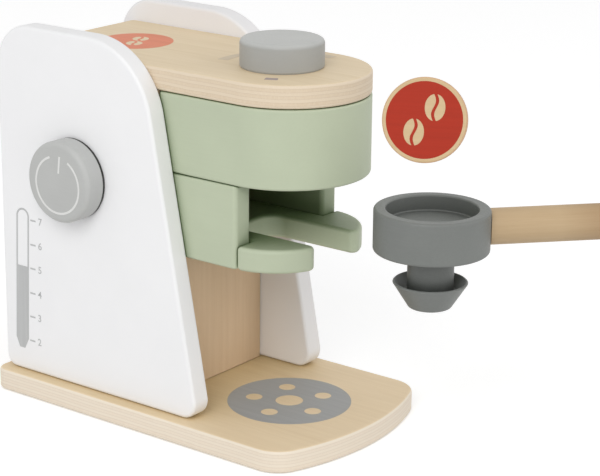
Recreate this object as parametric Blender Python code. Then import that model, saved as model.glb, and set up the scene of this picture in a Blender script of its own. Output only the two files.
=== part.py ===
"""Wooden toy coffee maker.

Metres, +Z up. The origin is the centre of the base board's underside, and the front faces -Y.
The filter holder is drawn out of its fork and the coffee disc is lifted off it, as the toy is
shown. Every board, block, dowel and screw is its own object.
"""

import math

import bmesh
import bpy
import numpy as np
from mathutils import Matrix, Vector

# Fits and finish, shared by all pieces
SEAM = 0.0003  # between two faces that touch
CHORD_ERROR = 0.00011  # how far a facet may lie inside its true curve
CUT_OVERRUN = 0.002  # how far a cutter runs past the face it enters
BOARD_ROUND = 0.0016  # rounded long edges of the plywood boards
PANEL_ROUND = 0.0018
PAINTED_ROUND = 0.0021  # softer edges of the green pieces
ROUND_SEGMENTS = 2
ROUNDED_FROM = math.radians(40)  # edges sharper than this are rounded
SHARP_FROM = math.radians(35)  # edges sharper than this are shaded as edges
WELD_GAP = 0.000003  # closes a turned shape where its ends meet

# Base board
BASE_WIDTH = 0.128
BASE_LENGTH = 0.2186
BASE_THICK = 0.0122
BASE_FRONT_RADIUS = 0.142  # the bowed front edge
BASE_FRONT_CORNER = 0.018
BASE_REAR_CORNER = 0.008
DRIP_PRINT_RADIUS = 0.034  # the round mark under the fork, where a cup stands
DRIP_PRINT_SETBACK = 0.0551  # from the base's front edge to its centre
DRIP_PRINT_THICK = 0.00005  # the layer of ink
DRIP_PRINT_EDGE = 0.0001  # over which the ink thins out

# Side panels, drawn in side view
PANEL_THICK = 0.0121
PANEL_HEIGHT = 0.1992
PANEL_REAR_INSET = 0.003  # from the base's rear edge
PANEL_FOOT_SETBACK = 0.0734  # from the base's front edge to the slanted edge's foot
PANEL_LEAN = 0.0383  # how far the slanted edge runs back over the panel's height
PANEL_BROW_RADIUS = 0.0457
PANEL_REAR_TOP_RADIUS = 0.0234
PANEL_FOOT_RADIUS = 0.009
PANEL_HEEL_RADIUS = 0.007
INNER_WIDTH = 0.0888  # between the two panels

# Top board, over the group, with a half-round nose
TOP_THICK = 0.0124
TOP_UNDERSIDE = 0.1741  # above the base board
TOP_REAR_SETBACK = 0.0099  # from the panels' rear edge
TOP_REAR_CORNER = 0.003

# Group: block, two cheeks and the fork they carry
GROUP_FACE_SETBACK = 0.0574  # from the base's front edge to the cheeks' front faces
CAVITY_HEIGHT = 0.0324
FORK_TOP = 0.0988  # above the base board
FORK_THICK = 0.0129
CHEEK_THICK = 0.0129
FORK_NOSE_RADIUS = 0.0336
SLOT_WIDTH = 0.0328
SLOT_END_SETBACK = 0.024  # from the cheeks' front faces to the slot's end
SLOT_END_CORNER = 0.010
SLOT_MOUTH_RADIUS = 0.004

# Back wall between the panels
WALL_SETBACK = 0.0528  # behind the cheeks' front faces
WALL_THICK = 0.012

# Knobs
KNOB_RADIUS = 0.0224
KNOB_EDGE = 0.0028
KNOB_RUNNING_GAP = 0.0004
TOP_KNOB_HEIGHT = 0.0149
TOP_KNOB_SETBACK = 0.0043  # behind the cheeks' front faces
POWER_KNOB_HEIGHT = 0.0133
POWER_KNOB_SETBACK = 0.1016  # behind the cheeks' front faces
POWER_KNOB_LIFT = 0.1207  # above the base board
AXLE_RADIUS = 0.005
AXLE_SOCKET_DEPTH = 0.009
AXLE_PLAY = 0.0004  # round the axle in its board
AXLE_CHAMFER = 0.0007
WASHER_RADIUS = 0.009
WASHER_THICK = 0.0012
WASHER_POCKET_DEPTH = 0.008
WASHER_POCKET_PLAY = 0.0015
AXLE_SCREW_RADIUS = 0.0016
AXLE_SCREW_HEAD_RADIUS = 0.0034
AXLE_SCREW_HEAD_HEIGHT = 0.0020
AXLE_SCREW_LENGTH = 0.009

# Filter holder
BASKET_RADIUS = 0.0299
BASKET_HEIGHT = 0.0224
BASKET_ROUND = 0.0015
RECESS_RADIUS = 0.0237
RECESS_DEPTH = 0.0084
RECESS_EDGE = 0.0008
NECK_RADIUS = 0.012
NECK_SEAT = 0.003  # how far the neck is let into the basket
NECK_LENGTH = 0.0163  # from the basket's underside to the spout's rim
SPOUT_RIM_RADIUS = 0.0194
SPOUT_FOOT_RADIUS = 0.011
SPOUT_HEIGHT = 0.0138
SPOUT_LIP = 0.0012
SPOUT_DISH_DEPTH = 0.0055
SPOUT_SOCKET_DEPTH = 0.003
SPOUT_FOOT_ROUND = 0.0018
HANDLE_RADIUS = 0.0094
HANDLE_LENGTH = 0.094
HANDLE_AXIS_LIFT = 0.0112  # above the basket's underside
HANDLE_END_ROUND = 0.0035
HANDLE_DOWEL_RADIUS = 0.003
HANDLE_DOWEL_IN_BASKET = 0.005
HANDLE_DOWEL_IN_HANDLE = 0.018
HANDLE_ANGLE = math.radians(48)  # swung to the right of straight ahead, as shown
SLIDE_RISE = math.radians(3)  # the holder lifts this much as it is drawn out
SLIDE_TRAVEL = 0.10415

# Coffee disc, stood up in front of its seat in the basket
DISC_RADIUS = 0.0207
DISC_THICK = 0.005
DISC_ROUND = 0.0010
DISC_SWING_RADIUS = 0.0577  # from the seated disc to its turning axis, level
DISC_SWING_LIFT = 0.0058  # the axis above the seated disc
DISC_SWING_AZIMUTH = math.radians(-64)
DISC_TURN = math.radians(76)

# Dowels and screws
BOARD_DOWEL_RADIUS = 0.004
PANEL_DOWEL_DEPTH = 0.008  # into a side panel
BOARD_DOWEL_DEPTH = 0.014  # into the edge of a board
SMALL_DOWEL_RADIUS = 0.003
SMALL_DOWEL_DEPTH = 0.008
BLOCK_DOWEL_DEPTH = 0.009
DOWEL_CHAMFER = 0.0006
SCREW_RADIUS = 0.0018
SCREW_HEAD_RADIUS = 0.0037
SCREW_HEAD_HEIGHT = 0.0024
SCREW_SINK = 0.0006  # the head's depth below the board's face
SCREW_POINT = 0.0030
BASE_SCREW_LENGTH = 0.030
WALL_SCREW_LENGTH = 0.028

# Shares of the piece that carries each row of fasteners
TOP_DOWEL_SHARES = (0.22, 0.78)
WALL_DOWEL_SHARES = (0.22, 0.80)
PANEL_SCREW_SHARES = (0.20, 0.84)
WALL_FOOT_SCREW_SHARE = 0.55
BLOCK_DOWEL_X_SHARE = 0.62
BLOCK_DOWEL_Y_SHARE = 0.55
CHEEK_DOWEL_SHARE = 0.30
TONGUE_DOWEL_SHARE = 0.66
WALL_SCREW_BLOCK_X_SHARE = 0.5
CHEEK_SCREW_LIFT_SHARE = 0.42

# Heights and places worked out from the sizes above
FRONT_Y = -BASE_LENGTH / 2
REAR_Y = BASE_LENGTH / 2
BASE_TOP = BASE_THICK
PANEL_BOTTOM = BASE_TOP + SEAM
PANEL_TOP = PANEL_BOTTOM + PANEL_HEIGHT
PANEL_REAR_Y = REAR_Y - PANEL_REAR_INSET
PANEL_FOOT_Y = FRONT_Y + PANEL_FOOT_SETBACK
PANEL_INNER_X = INNER_WIDTH / 2
PANEL_OUTER_X = PANEL_INNER_X + PANEL_THICK
GROUP_FACE_Y = FRONT_Y + GROUP_FACE_SETBACK
GROUP_HALF_WIDTH = PANEL_INNER_X - SEAM
TOP_BOTTOM = BASE_TOP + TOP_UNDERSIDE
TOP_TOP = TOP_BOTTOM + TOP_THICK
TOP_REAR_Y = PANEL_REAR_Y - TOP_REAR_SETBACK
WALL_FRONT_Y = GROUP_FACE_Y + WALL_SETBACK
WALL_REAR_Y = WALL_FRONT_Y + WALL_THICK
WALL_BOTTOM = BASE_TOP + SEAM
WALL_TOP = TOP_BOTTOM - SEAM
FORK_UPPER = BASE_TOP + FORK_TOP
FORK_LOWER = FORK_UPPER - FORK_THICK
BLOCK_BOTTOM = FORK_UPPER + CAVITY_HEIGHT
BLOCK_TOP = TOP_BOTTOM - SEAM
CHEEK_TOP = BLOCK_BOTTOM - SEAM
CHEEK_INNER_X = GROUP_HALF_WIDTH - CHEEK_THICK
GROUP_REAR_Y = WALL_FRONT_Y - SEAM
SLOT_HALF = SLOT_WIDTH / 2
SLOT_END_Y = GROUP_FACE_Y + SLOT_END_SETBACK
DRIP_PRINT_Y = FRONT_Y + DRIP_PRINT_SETBACK
TOP_KNOB_Y = GROUP_FACE_Y + TOP_KNOB_SETBACK
POWER_KNOB_Y = GROUP_FACE_Y + POWER_KNOB_SETBACK
POWER_KNOB_Z = BASE_TOP + POWER_KNOB_LIFT

# The docked filter holder stands against the slot's end, its basket just over the fork
DOCKED_Y = SLOT_END_Y - NECK_RADIUS - SEAM
DOCKED_Z = FORK_UPPER + SEAM
HOLDER_Y = DOCKED_Y - SLIDE_TRAVEL * math.cos(SLIDE_RISE)
HOLDER_Z = DOCKED_Z + SLIDE_TRAVEL * math.sin(SLIDE_RISE)
HANDLE_DIRECTION = Vector((math.sin(HANDLE_ANGLE), -math.cos(HANDLE_ANGLE), 0))

# Colours, with roughness
PLYWOOD = ("plywood", (0.76, 0.63, 0.44), 0.55)
WHITE = ("white_paint", (0.85, 0.85, 0.85), 0.45)
GREEN = ("sage_paint", (0.51, 0.57, 0.43), 0.5)
GREY = ("grey_paint", (0.45, 0.45, 0.45), 0.5)
DARK_GREY = ("dark_grey_paint", (0.20, 0.21, 0.20), 0.5)
BEECH = ("beech", (0.62, 0.46, 0.29), 0.5)
STEEL = ("zinc_steel", (0.6, 0.6, 0.6), 0.3)


def clear_scene():
    for old in list(bpy.data.objects):
        bpy.data.objects.remove(old)


def material(spec):
    name, colour, roughness = spec
    found = bpy.data.materials.get(name)
    if found:
        return found
    made = bpy.data.materials.new(name)
    made.use_nodes = True
    shader = made.node_tree.nodes["Principled BSDF"]
    shader.inputs["Base Color"].default_value = (*colour, 1)
    shader.inputs["Roughness"].default_value = roughness
    shader.inputs["Metallic"].default_value = 1 if spec is STEEL else 0
    return made


def arc_steps(radius, angle):
    """Enough straight steps that none lies further inside the arc than CHORD_ERROR."""
    step = 2 * math.acos(max(0.5, 1 - CHORD_ERROR / radius))
    return max(2, math.ceil(abs(angle) / step))


def turn_steps(radius):
    return 4 * max(3, math.ceil(arc_steps(radius, math.tau) / 4))


def arc(centre, radius, start, end):
    """Points of an arc, both ends included, from one angle to another in radians."""
    steps = arc_steps(radius, end - start)
    angles = np.linspace(start, end, steps + 1)
    return [(centre[0] + radius * math.cos(a), centre[1] + radius * math.sin(a)) for a in angles]


def rounded(corners, closed=True):
    """An outline through corners of (x, y, radius), each with a fillet of its own radius."""
    points = []
    for i, (x, y, radius) in enumerate(corners):
        inner = closed or 0 < i < len(corners) - 1
        if not radius or not inner:
            points.append((x, y))
            continue
        here = Vector((x, y))
        before = (Vector(corners[i - 1][:2]) - here).normalized()
        after = (Vector(corners[(i + 1) % len(corners)][:2]) - here).normalized()
        half = before.angle(after) / 2
        centre = here + (before + after).normalized() * (radius / math.sin(half))
        start = here + before * (radius / math.tan(half)) - centre
        end = here + after * (radius / math.tan(half)) - centre
        first = math.atan2(start.y, start.x)
        sweep = math.remainder(math.atan2(end.y, end.x) - first, math.tau)
        points += arc(centre, radius, first, first + sweep)
    return points


def as_object(name, mesh_data, spec):
    bmesh.ops.recalc_face_normals(mesh_data, faces=mesh_data.faces)
    mesh = bpy.data.meshes.new(name)
    mesh_data.to_mesh(mesh)
    mesh_data.free()
    mesh.shade_smooth()
    mesh.set_sharp_from_angle(angle=SHARP_FROM)
    made = bpy.data.objects.new(name, mesh)
    bpy.context.scene.collection.objects.link(made)
    if spec:
        mesh.materials.append(material(spec))
    return made


def plate(name, outline, low, high, spec, edge=0.0):
    """An outline in XY, extruded from low to high along Z, with its rims rounded by edge."""
    mesh_data = bmesh.new()
    bottom = mesh_data.faces.new([mesh_data.verts.new((x, y, low)) for x, y in outline])
    extruded = bmesh.ops.extrude_face_region(mesh_data, geom=[bottom])["geom"]
    top = [v for v in extruded if isinstance(v, bmesh.types.BMVert)]
    bmesh.ops.translate(mesh_data, verts=top, vec=(0, 0, high - low))
    made = as_object(name, mesh_data, spec)
    if edge:
        bevel = made.modifiers.new("rounded_edges", "BEVEL")
        bevel.width = edge
        bevel.segments = ROUND_SEGMENTS
        bevel.limit_method = "ANGLE"
        bevel.angle_limit = ROUNDED_FROM
    return made


def box(name, low, high, spec, edge=0.0):
    corners = [(low[0], low[1]), (high[0], low[1]), (high[0], high[1]), (low[0], high[1])]
    return plate(name, corners, low[2], high[2], spec, edge)


def turned(name, profile, spec, steps=None):
    """A profile of (radius, height) points, its ends on the axis, spun round Z."""
    steps = steps or turn_steps(max(r for r, z in profile))
    mesh_data = bmesh.new()
    verts = [mesh_data.verts.new((r, 0, z)) for r, z in profile]
    edges = [mesh_data.edges.new(pair) for pair in zip(verts, verts[1:])]
    spun = {"cent": (0, 0, 0), "axis": (0, 0, 1), "angle": math.tau, "steps": steps}
    bmesh.ops.spin(mesh_data, geom=verts + edges, use_merge=True, **spun)
    bmesh.ops.remove_doubles(mesh_data, verts=mesh_data.verts, dist=WELD_GAP)
    return as_object(name, mesh_data, spec)


def aim(piece, place, direction=(0, 0, 1)):
    """Puts a turned piece at a place, its axis along a direction."""
    piece.location = place
    piece.rotation_euler = Vector(direction).to_track_quat("Z", "Y").to_euler()
    return piece


def cut(target, cutter):
    """Takes a cutter's shape out of a piece. One cutter may serve several pieces."""
    cutter.hide_render = True
    cutter.display_type = "WIRE"
    made = target.modifiers.new("cut_" + cutter.name, "BOOLEAN")
    made.operation = "DIFFERENCE"
    made.solver = "EXACT"
    made.object = cutter
    return cutter


def rod(name, radius, low, high, chamfer, spec):
    profile = [
        (0, low),
        (radius - chamfer, low),
        (radius, low + chamfer),
        (radius, high - chamfer),
        (radius - chamfer, high),
        (0, high),
    ]
    return turned(name, profile, spec)


def hole(name, targets, radius, low, high, place, direction):
    """A round hole along a direction, from low to high measured from its place."""
    profile = [(0, low), (radius, low), (radius, high), (0, high)]
    cutter = aim(turned(name, profile, None), place, direction)
    for target in targets:
        cut(target, cutter)
    return cutter


def dowel(name, radius, place, direction, back, ahead, behind, before):
    """A dowel across a seam at place: back deep into the piece behind, ahead into the one before."""
    low, high = -back - SEAM, ahead + SEAM
    hole(name + "_bore", [behind, before], radius + SEAM, low, high, place, direction)
    return aim(rod(name, radius, -back, ahead, DOWEL_CHAMFER, BEECH), place, direction)


def shank(radius, top, length, point):
    """The lower part of a screw's profile, down -Z to its point."""
    return [(radius, top), (radius, point - length), (0, -length)]


def countersunk_screw(name, face, direction, length, through, into):
    """A wood screw sunk into the face of one board and running on into the next."""
    direction = Vector(direction)
    seat = Vector(face) + direction * SCREW_SINK
    head = [(0, 0), (SCREW_HEAD_RADIUS, 0)]
    profile = head + shank(SCREW_RADIUS, -SCREW_HEAD_HEIGHT, length, SCREW_POINT)
    aim(turned(name, profile, STEEL), seat, -direction)
    wide, narrow, low = SCREW_HEAD_RADIUS + SEAM, SCREW_RADIUS + SEAM, -length - SEAM
    bore = [(0, CUT_OVERRUN), (wide, CUT_OVERRUN), (wide, 0)]
    bore += [(narrow, -SCREW_HEAD_HEIGHT), (narrow, low), (0, low)]
    cutter = aim(turned(name + "_bore", bore, None), seat, -direction)
    cut(through, cutter)
    cut(into, cutter)


def base_outline():
    """The board in plan: a bowed front edge between two rounded corners, and a straight rear."""
    half = BASE_WIDTH / 2
    bow_y = FRONT_Y + BASE_FRONT_RADIUS
    inner = BASE_FRONT_RADIUS - BASE_FRONT_CORNER
    corner_x = half - BASE_FRONT_CORNER
    corner_y = bow_y - math.sqrt(inner**2 - corner_x**2)
    meet = math.atan2(corner_y - bow_y, corner_x)
    right = arc((0, bow_y), BASE_FRONT_RADIUS, -math.pi / 2, meet)
    right += arc((corner_x, corner_y), BASE_FRONT_CORNER, meet, 0)[1:]
    rear_x, rear_y = half - BASE_REAR_CORNER, REAR_Y - BASE_REAR_CORNER
    right += arc((rear_x, rear_y), BASE_REAR_CORNER, 0, math.pi / 2) + [(0, REAR_Y)]
    left = [(-x, y) for x, y in reversed(right[1:-1])]
    return right + left


def print_drip_circle(board):
    """Lays the round print's ink on the board's top."""
    mesh_data = bmesh.new()
    mesh_data.from_mesh(board.data)
    top = max(mesh_data.faces, key=lambda face: face.calc_center_median().z)
    middle = sorted(top.verts, key=lambda vert: abs(vert.co.x))[:2]
    front, rear = sorted(middle, key=lambda vert: vert.co.y)
    steps = turn_steps(DRIP_PRINT_RADIUS)
    angles = [math.tau * i / steps - math.pi / 2 for i in range(steps)]
    ring = [mesh_data.verts.new((0, DRIP_PRINT_Y, BASE_TOP)) for _ in angles]
    for vert, angle in zip(ring, angles):
        vert.co.x += DRIP_PRINT_RADIUS * math.cos(angle)
        vert.co.y += DRIP_PRINT_RADIUS * math.sin(angle)
    pairs = list(zip(ring, ring[1:] + ring[:1]))
    pairs += [(front, ring[0]), (rear, ring[steps // 2])]
    bmesh.utils.face_split_edgenet(top, [mesh_data.edges.new(pair) for pair in pairs])
    inked = [face for face in ring[0].link_faces if all(vert in ring for vert in face.verts)]
    edge, thick = DRIP_PRINT_EDGE, DRIP_PRINT_THICK
    bmesh.ops.inset_region(mesh_data, faces=inked, thickness=edge, depth=thick)
    mesh_data.to_mesh(board.data)
    mesh_data.free()


def side_panel(name, inner_x, outward):
    """A board cut in side view, with its slanted front edge and its tall round brow."""
    corners = [
        (PANEL_REAR_Y, PANEL_BOTTOM, PANEL_HEEL_RADIUS),
        (PANEL_REAR_Y, PANEL_TOP, PANEL_REAR_TOP_RADIUS),
        (PANEL_FOOT_Y + PANEL_LEAN, PANEL_TOP, PANEL_BROW_RADIUS),
        (PANEL_FOOT_Y, PANEL_BOTTOM, PANEL_FOOT_RADIUS),
    ]
    low, high = sorted((inner_x, inner_x + outward * PANEL_THICK))
    made = plate(name, rounded(corners), low, high, WHITE, PANEL_ROUND)
    made.matrix_world = Matrix(((0, 0, 1, 0), (1, 0, 0, 0), (0, 1, 0, 0), (0, 0, 0, 1)))
    return made


def nose_outline(rear_y, rear_corner):
    """A board as wide as the group with a half-round nose, centred on the cheeks' front plane."""
    half = GROUP_HALF_WIDTH
    tip = GROUP_FACE_Y - half
    sides = [(half, rear_y, rear_corner), (-half, rear_y, rear_corner)]
    return rounded([(-half, tip, half), (half, tip, half)] + sides)


def fork_outline():
    """Two prongs round a slot in front of the cheeks, and a tongue between them."""
    half, nose, mouth = GROUP_HALF_WIDTH, FORK_NOSE_RADIUS, SLOT_MOUTH_RADIUS
    front = GROUP_FACE_Y - SEAM
    nose_x = half - nose
    mouth_x = SLOT_HALF + mouth
    mouth_y = front - math.sqrt((nose - mouth) ** 2 - (mouth_x - nose_x) ** 2)
    meet = math.atan2(mouth_y - front, mouth_x - nose_x)
    prong = arc((mouth_x, mouth_y), mouth, math.pi, math.tau + meet)
    prong += arc((nose_x, front), nose, meet, 0)[1:]
    tongue_x = CHEEK_INNER_X - SEAM
    tongue = [(tongue_x, front), (tongue_x, GROUP_REAR_Y)]
    right = prong + tongue
    left = [(-x, y) for x, y in reversed(right)]
    corner = SLOT_END_CORNER
    end = [(-SLOT_HALF, SLOT_END_Y, corner), (SLOT_HALF, SLOT_END_Y, corner)]
    slot = rounded([(-SLOT_HALF, mouth_y, 0), *end, (SLOT_HALF, mouth_y, 0)], closed=False)
    return right + left + slot[1:-1]


def knob(name, height, place, direction):
    """A turned knob, its flat back at z = 0 and a blind socket for its axle."""
    socket = AXLE_RADIUS + SEAM
    corners = [
        (0, AXLE_SOCKET_DEPTH + SEAM, 0),
        (socket, AXLE_SOCKET_DEPTH + SEAM, 0),
        (socket, 0, 0),
        (KNOB_RADIUS, 0, DISC_ROUND),
        (KNOB_RADIUS, height, KNOB_EDGE),
        (0, height, 0),
    ]
    return aim(turned(name, rounded(corners, closed=False), GREY), place, direction)


def knob_hardware(prefix, board_thick, place, direction):
    """The axle glued into a knob, and the washer and screw that hold it behind the board."""
    inner_end = -(KNOB_RUNNING_GAP + board_thick + KNOB_RUNNING_GAP)
    axle = rod(prefix + "_axle", AXLE_RADIUS, inner_end, AXLE_SOCKET_DEPTH, AXLE_CHAMFER, BEECH)
    pilot = AXLE_SCREW_RADIUS + SEAM
    washer_top = inner_end - SEAM
    head_seat = washer_top - WASHER_THICK - SEAM
    screw_in = head_seat + AXLE_SCREW_LENGTH
    aim(axle, place, direction)
    low, high = inner_end - CUT_OVERRUN, screw_in + SEAM
    hole(prefix + "_pilot", [axle], pilot, low, high, place, direction)
    ring = [(pilot, washer_top), (WASHER_RADIUS, washer_top)]
    ring += [(r, z - WASHER_THICK) for r, z in reversed(ring)]
    washer = turned(prefix + "_washer", ring + ring[:1], STEEL)
    aim(washer, place, direction)
    head, height = AXLE_SCREW_HEAD_RADIUS, AXLE_SCREW_HEAD_HEIGHT
    length = height + AXLE_SCREW_LENGTH
    profile = [(0, 0), (head, 0), (head, -height)]
    profile += shank(AXLE_SCREW_RADIUS, -height, length, AXLE_SCREW_RADIUS)
    seat = Vector(place) + Vector(direction) * (head_seat - height)
    aim(turned(prefix + "_screw", profile, STEEL), seat, -Vector(direction))


def boards():
    """The housing's boards, keyed by name."""
    made = {"base": plate("base_board", base_outline(), 0, BASE_TOP, PLYWOOD, BOARD_ROUND)}
    print_drip_circle(made["base"])
    made["left"] = side_panel("left_side_panel", -PANEL_INNER_X, -1)
    made["right"] = side_panel("right_side_panel", PANEL_INNER_X, 1)
    half = GROUP_HALF_WIDTH
    low = (-half, WALL_FRONT_Y, WALL_BOTTOM)
    made["wall"] = box("back_wall", low, (half, WALL_REAR_Y, WALL_TOP), PLYWOOD)
    outline = nose_outline(TOP_REAR_Y, TOP_REAR_CORNER)
    made["top"] = plate("top_board", outline, TOP_BOTTOM, TOP_TOP, PLYWOOD, BOARD_ROUND)
    outline = nose_outline(GROUP_REAR_Y, 0)
    made["block"] = plate("group_block", outline, BLOCK_BOTTOM, BLOCK_TOP, GREEN, PAINTED_ROUND)
    for side, sign in (("left", -1), ("right", 1)):
        x = sorted((sign * half, sign * CHEEK_INNER_X))
        low = (x[0], GROUP_FACE_Y, FORK_LOWER)
        high = (x[1], GROUP_REAR_Y, CHEEK_TOP)
        made[side + "_cheek"] = box(side + "_cheek", low, high, GREEN, PAINTED_ROUND)
    made["fork"] = plate("fork_plate", fork_outline(), FORK_LOWER, FORK_UPPER, GREEN, PAINTED_ROUND)
    return made


def share_of(low, high, share):
    return low + (high - low) * share


def join_boards(made):
    """The dowels and screws that hold the boards together."""
    deep, into = PANEL_DOWEL_DEPTH, BOARD_DOWEL_DEPTH
    top_z = (TOP_BOTTOM + TOP_TOP) / 2
    brow_y = PANEL_FOOT_Y + PANEL_LEAN
    wall_y = (WALL_FRONT_Y + WALL_REAR_Y) / 2
    for side, sign in (("left", -1), ("right", 1)):
        panel, inward = made[side], (-sign, 0, 0)
        x = sign * (PANEL_INNER_X - SEAM / 2)
        for number, share in enumerate(TOP_DOWEL_SHARES, 1):
            place = (x, share_of(brow_y, TOP_REAR_Y, share), top_z)
            name = f"{side}_top_dowel_{number}"
            dowel(name, BOARD_DOWEL_RADIUS, place, inward, deep, into, panel, made["top"])
        for number, share in enumerate(WALL_DOWEL_SHARES, 1):
            place = (x, wall_y, share_of(WALL_BOTTOM, WALL_TOP, share))
            name = f"{side}_wall_dowel_{number}"
            dowel(name, BOARD_DOWEL_RADIUS, place, inward, deep, into, panel, made["wall"])
        for number, share in enumerate(PANEL_SCREW_SHARES, 1):
            y = share_of(PANEL_FOOT_Y, PANEL_REAR_Y, share)
            face = (sign * (PANEL_INNER_X + PANEL_THICK / 2), y, 0)
            name = f"{side}_base_screw_{number}"
            countersunk_screw(name, face, (0, 0, 1), BASE_SCREW_LENGTH, made["base"], panel)
        face = (sign * GROUP_HALF_WIDTH * WALL_FOOT_SCREW_SHARE, wall_y, 0)
        name = f"{side}_wall_foot_screw"
        countersunk_screw(name, face, (0, 0, 1), BASE_SCREW_LENGTH, made["base"], made["wall"])
        join_group(made, side, sign)


def join_group(made, side, sign):
    """What holds one side of the group: block to top board and wall, cheek to block, fork to cheek."""
    cheek, block = made[side + "_cheek"], made["block"]
    cheek_x = sign * (GROUP_HALF_WIDTH - CHEEK_THICK / 2)
    back, depth = BOARD_DOWEL_DEPTH, BLOCK_DOWEL_DEPTH
    y = share_of(GROUP_FACE_Y, GROUP_REAR_Y, BLOCK_DOWEL_Y_SHARE)
    place = (sign * GROUP_HALF_WIDTH * BLOCK_DOWEL_X_SHARE, y, TOP_BOTTOM - SEAM / 2)
    name = f"{side}_block_dowel"
    dowel(name, BOARD_DOWEL_RADIUS, place, (0, 0, 1), back, depth, block, made["top"])
    y = share_of(GROUP_FACE_Y, GROUP_REAR_Y, CHEEK_DOWEL_SHARE)
    place = (cheek_x, y, BLOCK_BOTTOM - SEAM / 2)
    small = SMALL_DOWEL_RADIUS
    dowel(f"{side}_cheek_dowel", small, place, (0, 0, 1), depth, depth, cheek, block)
    y = share_of(GROUP_FACE_Y, GROUP_REAR_Y, TONGUE_DOWEL_SHARE)
    place = (sign * (CHEEK_INNER_X - SEAM / 2), y, (FORK_UPPER + FORK_LOWER) / 2)
    deep = SMALL_DOWEL_DEPTH
    dowel(f"{side}_fork_dowel", small, place, (-sign, 0, 0), deep, deep, cheek, made["fork"])
    x = sign * GROUP_HALF_WIDTH * WALL_SCREW_BLOCK_X_SHARE
    face = (x, WALL_REAR_Y, (BLOCK_BOTTOM + BLOCK_TOP) / 2)
    name = f"{side}_block_screw"
    countersunk_screw(name, face, (0, -1, 0), WALL_SCREW_LENGTH, made["wall"], block)
    z = share_of(FORK_LOWER, CHEEK_TOP, CHEEK_SCREW_LIFT_SHARE)
    face = (cheek_x, WALL_REAR_Y, z)
    name = f"{side}_cheek_screw"
    countersunk_screw(name, face, (0, -1, 0), WALL_SCREW_LENGTH, made["wall"], cheek)


def fit_knobs(made):
    """The two knobs with their axles, and the bores and pocket that they run in."""
    bore = AXLE_RADIUS + AXLE_PLAY
    place = (0, TOP_KNOB_Y, TOP_TOP + KNOB_RUNNING_GAP)
    knob("top_knob", TOP_KNOB_HEIGHT, place, (0, 0, 1))
    knob_hardware("top_knob", TOP_THICK, place, (0, 0, 1))
    low = -(TOP_THICK + CUT_OVERRUN)
    hole("top_axle_bore", [made["top"]], bore, low, CUT_OVERRUN, place, (0, 0, 1))
    pocket = WASHER_RADIUS + WASHER_POCKET_PLAY
    seat = (0, TOP_KNOB_Y, BLOCK_TOP)
    depth = -WASHER_POCKET_DEPTH
    hole("washer_pocket", [made["block"]], pocket, depth, CUT_OVERRUN, seat, (0, 0, 1))
    place = (-PANEL_OUTER_X - KNOB_RUNNING_GAP, POWER_KNOB_Y, POWER_KNOB_Z)
    knob("power_knob", POWER_KNOB_HEIGHT, place, (-1, 0, 0))
    knob_hardware("power_knob", PANEL_THICK, place, (-1, 0, 0))
    low = -(PANEL_THICK + CUT_OVERRUN)
    hole("power_axle_bore", [made["left"]], bore, low, CUT_OVERRUN, place, (-1, 0, 0))


def pivot(name, place, pieces):
    """An empty on a joint's axis, which carries the pieces that turn about it."""
    made = bpy.data.objects.new(name, None)
    made.location = place
    bpy.context.scene.collection.objects.link(made)
    for piece in pieces:
        piece.parent = made
        piece.matrix_parent_inverse = Matrix.Translation(place).inverted()


def filter_holder():
    """Basket, neck, spout and handle. Each turned piece stands with its axis on the basket's."""
    axis = Vector((0, HOLDER_Y, HOLDER_Z))
    floor = BASKET_HEIGHT - RECESS_DEPTH
    socket = NECK_RADIUS + SEAM
    basket_corners = [
        (0, NECK_SEAT, 0),
        (socket, NECK_SEAT, 0),
        (socket, 0, 0),
        (BASKET_RADIUS, 0, BASKET_ROUND),
        (BASKET_RADIUS, BASKET_HEIGHT, BASKET_ROUND),
        (RECESS_RADIUS, BASKET_HEIGHT, RECESS_EDGE),
        (RECESS_RADIUS, floor, RECESS_EDGE),
        (0, floor, 0),
    ]
    basket = aim(turned("basket", rounded(basket_corners, closed=False), DARK_GREY), axis)
    dish = NECK_LENGTH + SPOUT_DISH_DEPTH
    neck_low = -(dish + SPOUT_SOCKET_DEPTH) + SEAM
    neck_high = NECK_SEAT - SEAM
    neck = rod("spout_neck", NECK_RADIUS, neck_low, neck_high, DOWEL_CHAMFER, DARK_GREY)
    aim(neck, axis)
    foot = -(NECK_LENGTH + SPOUT_HEIGHT)
    spout_corners = [
        (0, foot, 0),
        (SPOUT_FOOT_RADIUS, foot, SPOUT_FOOT_ROUND),
        (SPOUT_RIM_RADIUS, -NECK_LENGTH - SPOUT_LIP / 2, 0),
        (SPOUT_RIM_RADIUS - SPOUT_LIP / 2, -NECK_LENGTH, 0),
        (SPOUT_RIM_RADIUS - SPOUT_LIP, -NECK_LENGTH, 0),
        (socket + SPOUT_LIP, -dish, 0),
        (socket, -dish, 0),
        (socket, -dish - SPOUT_SOCKET_DEPTH, 0),
        (0, -dish - SPOUT_SOCKET_DEPTH, 0),
    ]
    cone = aim(turned("spout_cone", rounded(spout_corners, closed=False), DARK_GREY), axis)
    pivot("spout_slide", axis, [neck, cone])
    pivot("holder_swivel", axis, [basket, *handle(basket)])


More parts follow.
